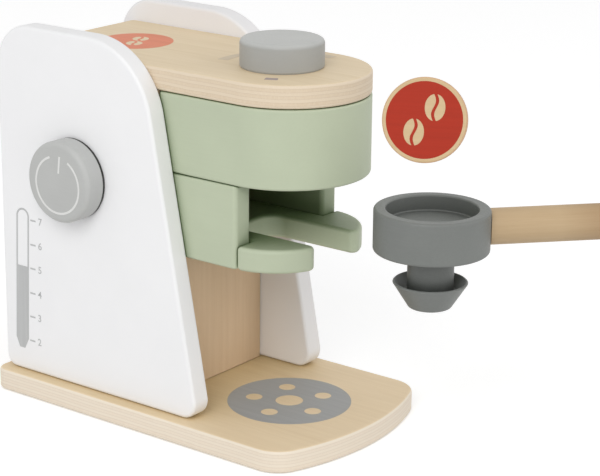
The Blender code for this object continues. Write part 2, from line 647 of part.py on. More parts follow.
def handle(basket):
    """A round handle, coped to the basket's side and held to it by a dowel."""
    root = Vector((0, HOLDER_Y, HOLDER_Z + HANDLE_AXIS_LIFT))
    start = math.sqrt(BASKET_RADIUS**2 - HANDLE_RADIUS**2) - CUT_OVERRUN
    end = BASKET_RADIUS + HANDLE_LENGTH
    corners = [
        (0, start, 0),
        (HANDLE_RADIUS, start, 0),
        (HANDLE_RADIUS, end, HANDLE_END_ROUND),
        (0, end, 0),
    ]
    grip = turned("handle", rounded(corners, closed=False), BEECH)
    aim(grip, root, HANDLE_DIRECTION)
    steps = turn_steps(BASKET_RADIUS)
    reach = HANDLE_RADIUS + CUT_OVERRUN
    cope = [(0, -reach), (BASKET_RADIUS + SEAM, -reach), (BASKET_RADIUS + SEAM, reach), (0, reach)]
    cut(grip, aim(turned("handle_cope", cope, None, steps), root))
    place = root + HANDLE_DIRECTION * BASKET_RADIUS
    back, ahead = HANDLE_DOWEL_IN_BASKET, HANDLE_DOWEL_IN_HANDLE
    name = "handle_dowel"
    pin = dowel(name, HANDLE_DOWEL_RADIUS, place, HANDLE_DIRECTION, back, ahead, basket, grip)
    return [grip, pin]


def coffee_disc():
    """The loose disc. It lies on the basket's floor, turned about a level axis to stand facing out."""
    corners = [
        (0, -DISC_THICK / 2, 0),
        (DISC_RADIUS, -DISC_THICK / 2, DISC_ROUND),
        (DISC_RADIUS, DISC_THICK / 2, DISC_ROUND),
        (0, DISC_THICK / 2, 0),
    ]
    made = turned("coffee_disc", rounded(corners, closed=False), PLYWOOD)
    seat_z = HOLDER_Z + BASKET_HEIGHT - RECESS_DEPTH + SEAM + DISC_THICK / 2
    seat = Vector((0, HOLDER_Y, seat_z))
    towards = Vector((math.sin(DISC_SWING_AZIMUTH), -math.cos(DISC_SWING_AZIMUTH), 0))
    pole = seat + towards * DISC_SWING_RADIUS + Vector((0, 0, DISC_SWING_LIFT))
    axis = Vector((0, 0, 1)).cross(towards)
    turn = Matrix.Rotation(DISC_TURN, 4, axis)
    swing = Matrix.Translation(pole) @ turn @ Matrix.Translation(-pole)
    made.matrix_world = swing @ Matrix.Translation(seat)
    pivot("disc_swing", pole, [made])


def main():
    clear_scene()
    made = boards()
    join_boards(made)
    fit_knobs(made)
    filter_holder()
    coffee_disc()


main()
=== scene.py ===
"""Looks of the wooden toy coffee maker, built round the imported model. Metres, +Z up, front at -Y."""

import math

import bmesh
import bpy
from mathutils import Matrix, Vector
from mathutils.geometry import tessellate_polygon


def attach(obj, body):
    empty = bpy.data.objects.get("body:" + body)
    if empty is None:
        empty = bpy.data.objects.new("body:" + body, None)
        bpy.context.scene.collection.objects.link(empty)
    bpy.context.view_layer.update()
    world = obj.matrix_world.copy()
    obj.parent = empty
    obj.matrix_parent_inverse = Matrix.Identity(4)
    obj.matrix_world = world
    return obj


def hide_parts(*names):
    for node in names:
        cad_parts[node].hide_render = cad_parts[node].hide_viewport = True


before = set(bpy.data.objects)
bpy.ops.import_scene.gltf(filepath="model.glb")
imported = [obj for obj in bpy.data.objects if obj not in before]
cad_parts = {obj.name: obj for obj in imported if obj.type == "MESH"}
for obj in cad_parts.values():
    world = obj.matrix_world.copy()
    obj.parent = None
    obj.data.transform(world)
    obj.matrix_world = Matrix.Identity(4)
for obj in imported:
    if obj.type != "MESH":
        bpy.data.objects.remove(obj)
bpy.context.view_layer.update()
SCENE = bpy.context.scene

MM = 0.001
UP, OUT, BACK = Vector((0, 0, 1)), Vector((1, 0, 0)), Vector((0, 1, 0))

# How fine the meshes are
FINE_CHORD = 0.008 * MM  # how far a facet may lie inside its curve
ROUND_SEGMENTS = 5  # steps in a rounded rim
NEXT_POINT = 0.01 * MM  # outline points closer than this are one
CAP_BORDER = 0.4 * MM  # a flat strip inside each rounded rim
SHARP_FROM = math.radians(50)  # an edge bent more than this is shaded sharp
TURN_STEPS = 144  # facets round a turned piece
BASKET_STEPS = 192
WELD_GAP = 0.002 * MM  # closes a turned mesh
NUMERAL_WELD_GAP = 0.001 * MM

# The boards' sizes and places, as in the frame
SEAM = 0.3 * MM
FRONT_Y, REAR_Y = -109.3 * MM, 109.3 * MM
BASE_TOP, BASE_HALF = 12.2 * MM, 64 * MM
BASE_FRONT_RADIUS = 142 * MM  # the bowed front edge
BASE_FRONT_CORNER, BASE_REAR_CORNER = 18 * MM, 8 * MM
PANEL_INNER_X, PANEL_OUTER_X = 44.4 * MM, 56.5 * MM
PANEL_BOTTOM, PANEL_TOP = 12.5 * MM, 211.7 * MM
PANEL_REAR_Y, PANEL_FOOT_Y, PANEL_BROW_Y = 106.3 * MM, -35.9 * MM, 2.4 * MM
PANEL_HEEL_RADIUS, PANEL_REAR_TOP_RADIUS = 7 * MM, 23.4 * MM
PANEL_BROW_RADIUS, PANEL_FOOT_RADIUS = 45.7 * MM, 9 * MM
GROUP_HALF, CHEEK_INNER_X = 44.1 * MM, 31.2 * MM
GROUP_FACE_Y, GROUP_REAR_Y = -51.9 * MM, 0.6 * MM
WALL_FRONT_Y, WALL_REAR_Y = 0.9 * MM, 12.9 * MM
TOP_BOTTOM, TOP_TOP, TOP_REAR_Y = 186.3 * MM, 198.7 * MM, 96.4 * MM
TOP_REAR_CORNER = 3 * MM
BLOCK_BOTTOM, BLOCK_TOP, CHEEK_TOP = 143.4 * MM, 186.0 * MM, 143.1 * MM
FORK_LOWER, FORK_UPPER = 98.1 * MM, 111.0 * MM
FORK_NOSE_RADIUS, PRONG_HEEL_RADIUS = 33.6 * MM, 2.4 * MM
SLOT_HALF, SLOT_END_Y = 16.4 * MM, -27.9 * MM
SLOT_MOUTH_RADIUS, SLOT_END_CORNER = 4 * MM, 10 * MM

# Rounded edges
BOARD_ROUND, PANEL_ROUND, FORK_ROUND, WALL_ROUND = 1.6 * MM, 1.8 * MM, 2.1 * MM, 0.4 * MM
JOINED_ROUND = 1.4 * MM  # on the block and cheeks, where they meet
GREEN_CORNER, WALL_CORNER = 2.6 * MM, 0.9 * MM  # upright edges, in plan

# Knobs, each on a foot of (radius, low, high)
KNOB_RADIUS, KNOB_EDGE = 22.4 * MM, 2.8 * MM
KNOB_BACK_EDGE, KNOB_FOOT_EDGE = 0.3 * MM, 0.2 * MM
TOP_KNOB, TOP_KNOB_HEIGHT = Vector((0, -47.6, 199.1)) * MM, 14.9 * MM
TOP_FOOT = (22.0 * MM, -0.3 * MM, 0.3 * MM)
POWER_KNOB, POWER_KNOB_HEIGHT = Vector((-56.9, 49.7, 132.9)) * MM, 13.2 * MM
POWER_FOOT = (22.3 * MM, 0, 1.4 * MM)
FOOT_RING_FADE = (0.03 * MM, 0.01 * MM)  # where the dark ring starts and is full

# Filter holder
HOLDER = Vector((0, -144.207, 116.751)) * MM
BASKET_RADIUS, BASKET_HEIGHT, BASKET_ROUND = 29.9 * MM, 22.4 * MM, 1.5 * MM
RECESS_RADIUS, RECESS_FLOOR = 23.7 * MM, 14 * MM
RECESS_RIM_ROUND, RECESS_FLOOR_ROUND = 0.9 * MM, 0.8 * MM
NECK_RADIUS, NECK_LENGTH = 12 * MM, 16.3 * MM
NECK_GAP = 0.1 * MM  # between the neck's ends and the pieces that it joins
SPOUT_RIM_RADIUS, SPOUT_FOOT_RADIUS, SPOUT_HEIGHT = 19.4 * MM, 11 * MM, 13.8 * MM
SPOUT_LIP, SPOUT_LIP_ROUND, SPOUT_LIP_INNER_ROUND = 1.2 * MM, 0.3 * MM, 0.2 * MM
SPOUT_FOOT_ROUND = 1.8 * MM
SPOUT_DISH_DEPTH, SPOUT_DISH_ROUND = 5.5 * MM, 1 * MM
SPOUT_DISH_PLAY = 1.5 * MM  # of the dish's floor round the neck
HANDLE_AXIS = Vector((0.7431448, -0.6691306, 0))
HANDLE_RADIUS, HANDLE_LENGTH, HANDLE_LIFT = 9.4 * MM, 94 * MM, 11.2 * MM
HANDLE_END_ROUND = 3.5 * MM
HANDLE_SIDES, HANDLE_RINGS, HANDLE_RING_STEP = 96, 4, 20 * MM
HANDLE_SHADE_FROM, HANDLE_SHADE_TO = 162 * MM, 192 * MM  # where painted shade darkens the handle, along its axis from the origin

# Coffee disc
DISC = Vector((-34.3, -160.9, 193.9)) * MM
DISC_NORMAL = Vector((-0.8721, -0.4253, 0.2419))
DISC_ACROSS = UP.cross(DISC_NORMAL).normalized()
DISC_UP = DISC_NORMAL.cross(DISC_ACROSS)
DISC_RADIUS, DISC_THICK, DISC_ROUND = 20.65 * MM, 5 * MM, 1 * MM

# Prints
PRINT_THICK = 0.06 * MM  # an ink layer
PRINT_LIFT = 0.02 * MM  # its underside above the surface it lies on
CIRCLE_STEPS, LARGE_CIRCLE_STEPS, DRIP_STEPS = 72, 144, 180
DRIP_PRINT = Vector((0, -54.2, 12.2)) * MM
DRIP_RADIUS, DRIP_MIDDLE_RADIUS = 34 * MM, 7.6 * MM
DRIP_HOLES, DRIP_HOLE_RADIUS, DRIP_HOLE_REACH = 5, 4.6 * MM, 20 * MM
DRIP_FIRST_ANGLE = 41
DISC_PRINT_RADIUS = 18.6 * MM
DISC_BEANS = ((4.8 * MM, 6.2 * MM), (-4.8 * MM, -6.0 * MM))
DISC_BEAN_HALF = (5.0 * MM, 6.5 * MM)  # across and along a bean
TOP_PRINT, TOP_PRINT_RADIUS = (-1.3 * MM, 53.6 * MM), 20.8 * MM
TOP_BEANS = ((5.0 * MM, 55.6 * MM), (-6.2 * MM, 50.4 * MM))
TOP_BEAN_HALF, TOP_BEAN_TURN = (4.6 * MM, 5.8 * MM), math.radians(-52)
BEAN_STEPS, BEAN_GROOVE = 28, 0.75 * MM  # points along a half, and half the groove's width
BEAN_SWING_SHARE = 0.20  # of half the bean's width, for the groove's swing to each side
SCALE_RADII, SCALE_ANGLES = (31.5 * MM, 37.4 * MM), (-14, 104)
MARK_RADII, MARK_ANGLES = (29.8 * MM, 34.0 * MM), (202, 214)
POWER_RING_DROP, POWER_RING_RADII = 1.3 * MM, (15.0 * MM, 16.2 * MM)
POWER_RING_ANGLES = (109, 420)
POWER_BAR = (1.0 * MM, 5.4 * MM, 2.1 * MM, 14.8 * MM, 1.2 * MM)  # x and y of its ends, width

# The water gauge, drawn with x towards the front and y up
GAUGE_LEFT, GAUGE_RIGHT = -98.3 * MM, -88.6 * MM
GAUGE_LOW, GAUGE_TOP, GAUGE_LEVEL = 25.5 * MM, 108.5 * MM, 74.6 * MM
GAUGE_LINE = 1.1 * MM
GAUGE_LEAN = 4.2 / 100  # towards the front over its height
GAUGE_TIP_HALF, GAUGE_SHOULDER = 2 * MM, 6 * MM
GAUGE_FILL_SHARE = 0.6  # of the line's width, from the tube's side to the fill
GAUGE_TICKS = {2: 31.1, 3: 45.5, 4: 59.6, 5: 74.2, 6: 88.2, 7: 102.4}  # millimetres up
TICK_START, TICK_END, TICK_WIDTH = 1.1 * MM, 5.1 * MM, 0.95 * MM
NUMERAL_PLACE, NUMERAL_SIZE, NUMERAL_SWELL = 8.5 * MM, 5.8 * MM, 0.06 * MM


# Shader nodes


def srgb(red, green, blue):
    """A linear colour from 8-bit display values."""
    share = [v / 255 for v in (red, green, blue)]
    return tuple(v / 12.92 if v <= 0.04045 else ((v + 0.055) / 1.055) ** 2.4 for v in share) + (1,)


def toned(colour, share):
    """A colour made darker or paler by a share of itself."""
    return tuple(min(1.0, value * share) for value in colour[:3]) + (1,)


class Shader:
    """A material's node tree, written from inputs to output."""

    def __init__(self, name):
        self.material = bpy.data.materials.new(name)
        self.material.use_nodes = True
        self.tree = self.material.node_tree
        self.surface = self.tree.nodes["Principled BSDF"]
        self.place = self.add("ShaderNodeTexCoord").outputs["Object"]
        self.normal = self.add("ShaderNodeTexCoord").outputs["Normal"]

    def add(self, kind, settings=(), inputs=()):
        node = self.tree.nodes.new(kind)
        for key, value in dict(settings).items():
            setattr(node, key, value)
        for key, value in dict(inputs).items():
            self.feed(node.inputs[key], value)
        return node

    def feed(self, socket, value):
        if isinstance(value, bpy.types.NodeSocket):
            self.tree.links.new(value, socket)
        else:
            socket.default_value = value

    def math(self, operation, a, b=0.0):
        return self.add("ShaderNodeMath", {"operation": operation}, {0: a, 1: b}).outputs[0]

    def plus(self, a, b):
        return self.math("ADD", a, b)

    def minus(self, a, b):
        return self.math("SUBTRACT", a, b)

    def times(self, a, b):
        return self.math("MULTIPLY", a, b)

    def along(self, direction, source=None):
        """How far a point lies along a direction, or how far a normal looks that way."""
        settings = {"operation": "DOT_PRODUCT"}
        inputs = {0: source or self.place, 1: tuple(direction)}
        return self.add("ShaderNodeVectorMath", settings, inputs).outputs["Value"]

    def facing(self, direction):
        """1 on faces square to a direction, on either side, and 0 on those along it."""
        return self.math("ABSOLUTE", self.along(direction, self.normal))

    def join(self, x, y, z):
        return self.add("ShaderNodeCombineXYZ", {}, {0: x, 1: y, 2: z}).outputs[0]

    def stretched(self, point, *factors):
        """A point with each of its three coordinates times its own factor."""
        return self.join(*[self.times(value, factor) for value, factor in zip(point, factors)])

    def noise(self, vector, scale=1.0, detail=3.0, roughness=0.55, distortion=0.0):
        inputs = {"Vector": vector, "Scale": scale, "Detail": detail}
        inputs.update({"Roughness": roughness, "Distortion": distortion})
        return self.add("ShaderNodeTexNoise", {}, inputs).outputs["Fac"]

    def span(self, value, low, high, to_low=0.0, to_high=1.0):
        """A value between low and high, stretched over another range and held there."""
        inputs = {0: value, 1: low, 2: high, 3: to_low, 4: to_high}
        return self.add("ShaderNodeMapRange", {"clamp": True}, inputs).outputs[0]

    def mix(self, share, a, b, blend="MIX"):
        settings = {"data_type": "RGBA", "blend_type": blend}
        return self.add("ShaderNodeMix", settings, {0: share, 6: a, 7: b}).outputs[2]

    def product(self, a, b):
        return self.mix(1.0, a, b, "MULTIPLY")

    def bump(self, height, strength, distance, below=None):
        inputs = {"Height": height, "Strength": strength, "Distance": distance}
        if below:
            inputs["Normal"] = below
        return self.add("ShaderNodeBump", {}, inputs).outputs["Normal"]

    def finish(self, colour, roughness, normal, **fixed):
        self.feed(self.surface.inputs["Base Color"], colour)
        self.feed(self.surface.inputs["Roughness"], roughness)
        self.feed(self.surface.inputs["Normal"], normal)
        for key, value in fixed.items():
            self.surface.inputs[key.replace("_", " ")].default_value = value
        return self.material


# Kinds of material. Noise scales are per millimetre, and spans of noise are of its 0 to 1.

OFFSET_SHARES = (1.0, 1.7, 2.3)  # of an offset, along the grain, across it and through the board
MIDDLE = (0.3, 0.7)  # the part of a noise's range that most of it lies in

# Noises that follow the grain: scale along it and across it, detail, roughness, distortion
BROAD_BANDS = (0.012, 0.075, 3, 0.5, 0.6)
RINGS = (0.010, 0.42, 4, 0.6, 0.4)
FIBRES = (0.06, 2.2, 3, 0.6, 0.0)
PORES = (0.16, 3.4, 2, 0.5, 0.0)
PAINT_FIBRES = (0.05, 1.1, 3, 0.6, 0.0)

# Noises alike in all directions: scale, detail, roughness
END_CELLS, CLOUDS, PEEL, SPECKS = (1, 3, 0.6), (0.035, 3, 0.5), (0.9, 2, 0.5), (2.4, 2, 0.6)

# Relief: strength, depth
GRAIN_RELIEF, PEEL_RELIEF = (0.16, 0.05 * MM), (0.12, 0.06 * MM)
INK_RELIEF, STEEL_RELIEF = (0.15, 0.04 * MM), (0.2, 0.02 * MM)

# Wood
RING_SHARE = 0.55  # of its tone from its rings, the rest from broad bands
RING_SPAN, PORE_SPAN = (0.3, 0.72), (0.66, 0.74)
FIBRE_SHARE, PORE_SHARE, PORE_DEPTH = 0.07, 0.10, 0.8
PORE_BROWN, GLUE_BROWN = srgb(120, 88, 56), srgb(150, 112, 78)
WOOD_ROUGHNESS = (0.25, 0.75, 0.50, 0.64)  # at two levels of the fibres' noise

# Plies, with heights as shares of a ply
PLY_COUNT, DISC_PLY_COUNT = 7, 3
PLY_WAVE_SCALE, PLY_WAVE_HEIGHT = 0.03, 0.9
PLY_TONE_SHARE, PLY_STEP = 0.3, 0.4
CELL_TONES, THREAD_TONES, END_GRAIN_SCALE = (0.35, 1.0), (0.0, 0.45), 1.3
GLUE_LINE, GLUE_SHARE = (0.04, 0.10), 0.16
FACE_SPAN = (0.72, 0.9)  # of a normal's share through the board, from edge to face

# Paint: shares of its mottle, and how far peel moves its roughness
PALE_SHARE, PAINT_GRAIN_SHARE, PAINT_GRAIN_SPAN = 0.6, 1.4, (0.35, 0.75)
PEEL_LOW, PEEL_HIGH = -0.05, 0.07

# Ink: where its ground shows through, its darker tone and its roughness
WORN_SPAN, SPECK_SPAN, SPECK_SHARE = (0.35, 0.8), (0.62, 0.8), 0.5
INK_DEEP_SHARE, INK_ROUGHNESS = 0.9, (0.46, 0.6)

# Steel
STEEL_MARK_SCALES, STEEL_CLOUD_SCALE = (0.4, 0.4, 9.0), 0.5
STEEL_TONES, STEEL_ROUGHNESS = (srgb(176, 178, 182), srgb(206, 204, 196)), (0.24, 0.42)


def grain_coordinates(shader, grain, through, offset=0.0):
    """Millimetres along the grain, across it and through the board, moved on by an offset."""
    across = Vector(through).cross(Vector(grain))
    along = [shader.times(shader.along(d), 1 / MM) for d in (grain, across, through)]
    return [shader.plus(value, offset * share) for value, share in zip(along, OFFSET_SHARES)]


def grain_noise(shader, point, kind):
    along, across, detail, roughness, distortion = kind
    stretched = shader.stretched(point, along, across, across)
    return shader.noise(stretched, 1, detail, roughness, distortion)


def layered(shader, colour, height, point, fibres, through, plies, rim):
    """A board's colour and height with plies on its edges, long grain and end grain by turns."""
    low, thick, count = plies
    plan = point[:2]
    wave = shader.noise(shader.join(*[shader.times(p, PLY_WAVE_SCALE) for p in plan], 0.0))
    wave = shader.times(shader.minus(wave, 0.5), PLY_WAVE_HEIGHT / count)
    depth = shader.math("DIVIDE", shader.minus(shader.along(through), low), thick)
    level = shader.times(shader.plus(depth, wave), count)
    number = shader.math("FLOOR", level)
    inside = shader.math("FRACT", level)
    crossed = shader.math("MODULO", shader.math("ABSOLUTE", number), 2.0)
    face = shader.span(shader.facing(through), *FACE_SPAN)
    own = shader.add("ShaderNodeTexWhiteNoise", {"noise_dimensions": "1D"}, {"W": number})
    cells = shader.join(*[shader.times(p, END_GRAIN_SCALE) for p in plan], level)
    cells = shader.span(shader.noise(cells, *END_CELLS), *MIDDLE, *CELL_TONES)
    threads = shader.span(fibres, *MIDDLE, *THREAD_TONES)
    figure = shader.add("ShaderNodeMix", {"data_type": "FLOAT"}, {0: crossed, 2: threads, 3: cells})
    layers = shader.mix(figure.outputs[0], *rim)
    layers = shader.mix(shader.times(own.outputs["Value"], PLY_TONE_SHARE), layers, rim[0])
    to_glue = shader.math("MINIMUM", inside, shader.minus(1.0, inside))
    glue = shader.span(to_glue, *GLUE_LINE, 1.0, 0.0)
    layers = shader.mix(shader.times(glue, GLUE_SHARE), layers, GLUE_BROWN)
    step = shader.times(shader.minus(crossed, glue), PLY_STEP)
    height = shader.plus(height, shader.times(step, shader.minus(1.0, face)))
    return shader.mix(face, layers, colour), height


def wood(name, tones, grain=BACK, through=UP, offset=0.0, plies=None, rim=None, tint=None):
    """Bare sanded wood of two tones, with optional painted shade over its faces. plies, as (low,
    thickness, count), layers its edges in the two tones of rim, like plywood."""
    shader = Shader(name)
    point = grain_coordinates(shader, grain, through, offset)
    kinds = (BROAD_BANDS, RINGS, FIBRES, PORES)
    broad, rings, fibres, pores = [grain_noise(shader, point, kind) for kind in kinds]
    pores = shader.span(pores, *PORE_SPAN)
    tone = shader.times(shader.span(broad, *MIDDLE), 1 - RING_SHARE)
    tone = shader.plus(tone, shader.times(shader.span(rings, *RING_SPAN), RING_SHARE))
    light, dark = tones
    colour = shader.mix(tone, light, dark)
    fine = shader.span(fibres, *MIDDLE, 0.0, FIBRE_SHARE)
    colour = shader.mix(fine, colour, dark, "MULTIPLY")
    colour = shader.mix(shader.times(pores, PORE_SHARE), colour, PORE_BROWN)
    height = shader.plus(fibres, shader.times(pores, -PORE_DEPTH))
    if tint:
        colour = tint(shader, colour)
    if plies:
        colour, height = layered(shader, colour, height, point, fibres, through, plies, rim)
    roughness = shader.span(fibres, *WOOD_ROUGHNESS)
    normal = shader.bump(height, *GRAIN_RELIEF)
    return shader.finish(colour, roughness, normal, Specular_IOR_Level=0.35)


def paint(name, colour, grain=BACK, through=UP, offset=0.0, roughness=0.5, mottle=0.05, tint=None):
    """Sprayed water-based paint on sanded wood: faint mottling, orange peel, a trace of grain."""
    shader = Shader(name)
    point = grain_coordinates(shader, grain, through, offset)
    place = shader.join(*point)
    cloud = shader.noise(place, *CLOUDS)
    peel = shader.noise(place, *PEEL)
    fibres = grain_noise(shader, point, PAINT_FIBRES)
    deep, pale = toned(colour, 1 - mottle), toned(colour, 1 + mottle * PALE_SHARE)
    tone = shader.mix(shader.span(cloud, *MIDDLE), deep, pale)
    grained = shader.span(fibres, *PAINT_GRAIN_SPAN, 0.0, mottle * PAINT_GRAIN_SHARE)
    tone = shader.mix(grained, tone, deep, "MULTIPLY")
    # Painted shade comes in here for recesses, sides and top edges; the power knob's dark foot comes
    # in here too.
    if tint:
        tone = tint(shader, tone)
    rough = shader.span(peel, *MIDDLE, roughness + PEEL_LOW, roughness + PEEL_HIGH)
    normal = shader.bump(peel, *PEEL_RELIEF)
    normal = shader.bump(fibres, *GRAIN_RELIEF, normal)
    return shader.finish(tone, rough, normal, Specular_IOR_Level=0.45)


def ink(name, colour, ground, grain=BACK, through=UP, cover=0.9):
    """A screen print that lets a little of the ground that it lies on through."""
    shader = Shader(name)
    point = grain_coordinates(shader, grain, through)
    rings = grain_noise(shader, point, RINGS)
    fibres = grain_noise(shader, point, FIBRES)
    speck = shader.noise(shader.join(*point), *SPECKS)
    wear = shader.times(shader.span(fibres, *WORN_SPAN), 1 - cover)
    wear = shader.plus(wear, shader.span(speck, *SPECK_SPAN, 0.0, SPECK_SHARE * (1 - cover)))
    tone = shader.mix(shader.span(rings, *MIDDLE), colour, toned(colour, INK_DEEP_SHARE))
    tone = shader.mix(wear, tone, ground)
    roughness = shader.span(speck, *MIDDLE, *INK_ROUGHNESS)
    normal = shader.bump(fibres, *INK_RELIEF)
    return shader.finish(tone, roughness, normal, Specular_IOR_Level=0.2)


def steel(name):
    """Zinc-plated steel with fine marks across Z."""
    shader = Shader(name)
    point = grain_coordinates(shader, OUT, UP)
    marks = shader.noise(shader.stretched(point, *STEEL_MARK_SCALES))
    cloud = shader.noise(shader.join(*point), STEEL_CLOUD_SCALE)
    tone = shader.mix(shader.span(cloud, *MIDDLE), *STEEL_TONES)
    roughness = shader.span(marks, *MIDDLE, *STEEL_ROUGHNESS)
    normal = shader.bump(marks, *STEEL_RELIEF)
    return shader.finish(tone, roughness, normal, Metallic=1.0)


# Changes of tone over a piece: painted shade, and the power knob's dark foot

SIDE_SPAN = (0.75, 0.2)  # of a normal's share along the axis, from a rounded rim to a side
# Painted shade on up-facing edges: the normal's span, its share and its tone
TOP_EDGE_SPAN, TOP_EDGE_SHADE_SHARE, TOP_EDGE_SHADE_TONE = (0.2, 0.9), 0.08, srgb(120, 112, 100)
# The handle's painted end shade, and the power knob's dark foot
HANDLE_END_SHADE, FOOT_BLACK = (0.74, 0.66, 0.60, 1), srgb(38, 38, 36)
SKY_SAMPLES = 12


def shaded_sides(share):
    """Painted shade: a darker tone on the faces that look sideways from a turned piece's axis along Z.
    """

    def tint(shader, tone):
        side = shader.span(shader.facing(UP), *SIDE_SPAN)
        return shader.mix(side, tone, shader.product(tone, (share, share, share, 1)))

    return tint


def dark_recesses(reach, low, high, deep):
    """Painted shade in recesses: a tone that turns to its product with deep as the share of open sky
    falls from high to low.
    """

    def tint(shader, tone):
        settings = {"samples": SKY_SAMPLES}
        sky = shader.add("ShaderNodeAmbientOcclusion", settings, {"Distance": reach})
        in_the_open = shader.span(sky.outputs["AO"], low, high)
        return shader.mix(in_the_open, shader.product(tone, deep), tone)

    return tint


def thin_top_edges(shader, tone):
    """Painted shade: a slightly darker brownish tone on the faces and rounded edges that look up."""
    up = shader.along(UP, shader.normal)
    return shader.mix(shader.span(up, *TOP_EDGE_SPAN, 0.0, TOP_EDGE_SHADE_SHARE), tone, TOP_EDGE_SHADE_TONE)


def darker_end(shader, tone):
    """Painted shade: the handle darkens towards its free end."""
    share = shader.span(shader.along(HANDLE_AXIS), HANDLE_SHADE_FROM, HANDLE_SHADE_TO)
    return shader.mix(share, tone, shader.product(tone, HANDLE_END_SHADE))


def dark_foot(shader, tone):
    """The power knob's foot, next to the panel, is a dark ring."""
    near = POWER_KNOB.x - POWER_FOOT[2]
    start, full = FOOT_RING_FADE
    ring = shader.span(shader.along(OUT), near - start, near + full)
    return shader.mix(ring, tone, FOOT_BLACK)


# The toy's materials, with their tones from light to dark

TOP_TONES = srgb(232, 214, 184), srgb(220, 200, 165)
BASE_TONES = srgb(241, 220, 187), srgb(231, 208, 173)
WALL_TONES = srgb(238, 211, 180), srgb(227, 198, 163)
DISC_TONES = srgb(214, 189, 149), srgb(201, 174, 132)
BEECH_TONES = srgb(198, 173, 138), srgb(189, 163, 127)
TOP_RIM = srgb(229, 213, 190), srgb(218, 198, 170)
BASE_RIM = srgb(243, 231, 213), srgb(237, 222, 202)
DISC_RIM = srgb(214, 176, 138), srgb(186, 140, 100)
GREEN, HOLDER_GREY = srgb(189, 198, 172), srgb(120, 123, 120)
KNOB_GREY, POWER_GREY = srgb(188, 189, 186), srgb(188, 189, 187)
PANEL_FINISH_AND_SHADE = (0.46, 0.01, thin_top_edges)  # roughness, mottle, painted shade on the top edges

# Painted shade in recesses: how far their walls stand, and the tones that it darkens to
BOARD_REACH, GREEN_REACH, HOLDER_REACH = 90 * MM, 55 * MM, 22 * MM
BASE_SHADE_TONE, WALL_SHADE_TONE = (0.80, 0.77, 0.64, 1), (0.84, 0.84, 0.82, 1)
GREEN_SHADE_TONE, HOLDER_SHADE_TONE = (0.24, 0.31, 0.19, 1), (0.34, 0.35, 0.34, 1)
BASE_CORNER_SHADE = dark_recesses(BOARD_REACH, 0.25, 0.85, BASE_SHADE_TONE)
WALL_CORNER_SHADE = dark_recesses(BOARD_REACH, 0.25, 0.75, WALL_SHADE_TONE)
GREEN_RECESS_SHADE = dark_recesses(GREEN_REACH, 0.30, 0.66, GREEN_SHADE_TONE)
FORK_RECESS_SHADE = dark_recesses(GREEN_REACH, 0.30, 0.82, GREEN_SHADE_TONE)
RIGHT_RECESS_SHADE = dark_recesses(GREEN_REACH, 0.30, 1.00, GREEN_SHADE_TONE)
HOLDER_RECESS_SHADE = dark_recesses(HOLDER_REACH, 0.35, 0.75, HOLDER_SHADE_TONE)

TOP_PLIES = (TOP_BOTTOM, TOP_TOP - TOP_BOTTOM, PLY_COUNT)
BASE_PLIES = (0.0, BASE_TOP, PLY_COUNT)
WALL_PLIES = (WALL_FRONT_Y, WALL_REAR_Y - WALL_FRONT_Y, PLY_COUNT)
DISC_PLIES = (DISC.dot(DISC_NORMAL) - DISC_THICK / 2, DISC_THICK, DISC_PLY_COUNT)

TOP_WOOD = wood("top_plywood", TOP_TONES, offset=31, plies=TOP_PLIES, rim=TOP_RIM)
# The base's and the wall's faces take painted shade in corners and recesses.
BASE_WOOD = wood(
    "base_plywood", BASE_TONES, offset=7, plies=BASE_PLIES, rim=BASE_RIM, tint=BASE_CORNER_SHADE
)
WALL_WOOD = wood("wall_plywood", WALL_TONES, UP, BACK, 53, WALL_PLIES, TOP_RIM, WALL_CORNER_SHADE)
DISC_WOOD = wood("disc_plywood", DISC_TONES, DISC_ACROSS, DISC_NORMAL, 11, DISC_PLIES, DISC_RIM)
# The handle's wood has painted shade towards its free end.
HANDLE_WOOD = wood("handle_beech", BEECH_TONES, HANDLE_AXIS, UP, 5, tint=darker_end)
PANEL_PAINTS = {
    "left": paint("panel_paint", srgb(246, 246, 247), UP, OUT, 3, *PANEL_FINISH_AND_SHADE),
    # The right panel's white is a little darker than the left's: painted shade on the far panel.
    "right": paint("right_panel_shaded_paint", srgb(240, 239, 240), UP, OUT, 13, *PANEL_FINISH_AND_SHADE),
}
# Painted shade darkens the green pieces in their recesses, the fork and the right cheek over more of
# their faces.
GREEN_PAINT = paint("green_paint", GREEN, offset=17, mottle=0.03, tint=GREEN_RECESS_SHADE)
FORK_PAINT = paint("fork_paint", GREEN, offset=47, mottle=0.03, tint=FORK_RECESS_SHADE)
CHEEK_PAINTS = {
    "left": GREEN_PAINT,
    "right": paint("right_cheek_shaded_paint", GREEN, offset=59, mottle=0.03, tint=RIGHT_RECESS_SHADE),
}
# The top knob's paint has painted shade on its sides.
KNOB_PAINT = paint("knob_paint", KNOB_GREY, offset=23, mottle=0.035, tint=shaded_sides(0.78))
POWER_PAINT = paint("power_knob_paint", POWER_GREY, offset=41, mottle=0.035, tint=dark_foot)
# Painted shade darkens the filter holder's recesses; the spout's paint has none.
HOLDER_PAINT = paint("holder_paint", HOLDER_GREY, BACK, UP, 29, 0.48, 0.045, HOLDER_RECESS_SHADE)
SPOUT_PAINT = paint("spout_paint", HOLDER_GREY, BACK, UP, 37, 0.48, 0.045)
ZINC = steel("screw_steel")
GREY_INK = ink("grey_ink", srgb(169, 170, 171), BASE_TONES[0], cover=0.94)
SCALE_INK = ink("scale_ink", srgb(212, 196, 171), TOP_TONES[0], cover=0.9)
MARK_INK = ink("mark_ink", srgb(172, 158, 156), TOP_TONES[0], cover=0.95)
RED_INK = ink("red_ink", srgb(175, 48, 26), srgb(176, 96, 70), DISC_ACROSS, DISC_NORMAL, 0.97)
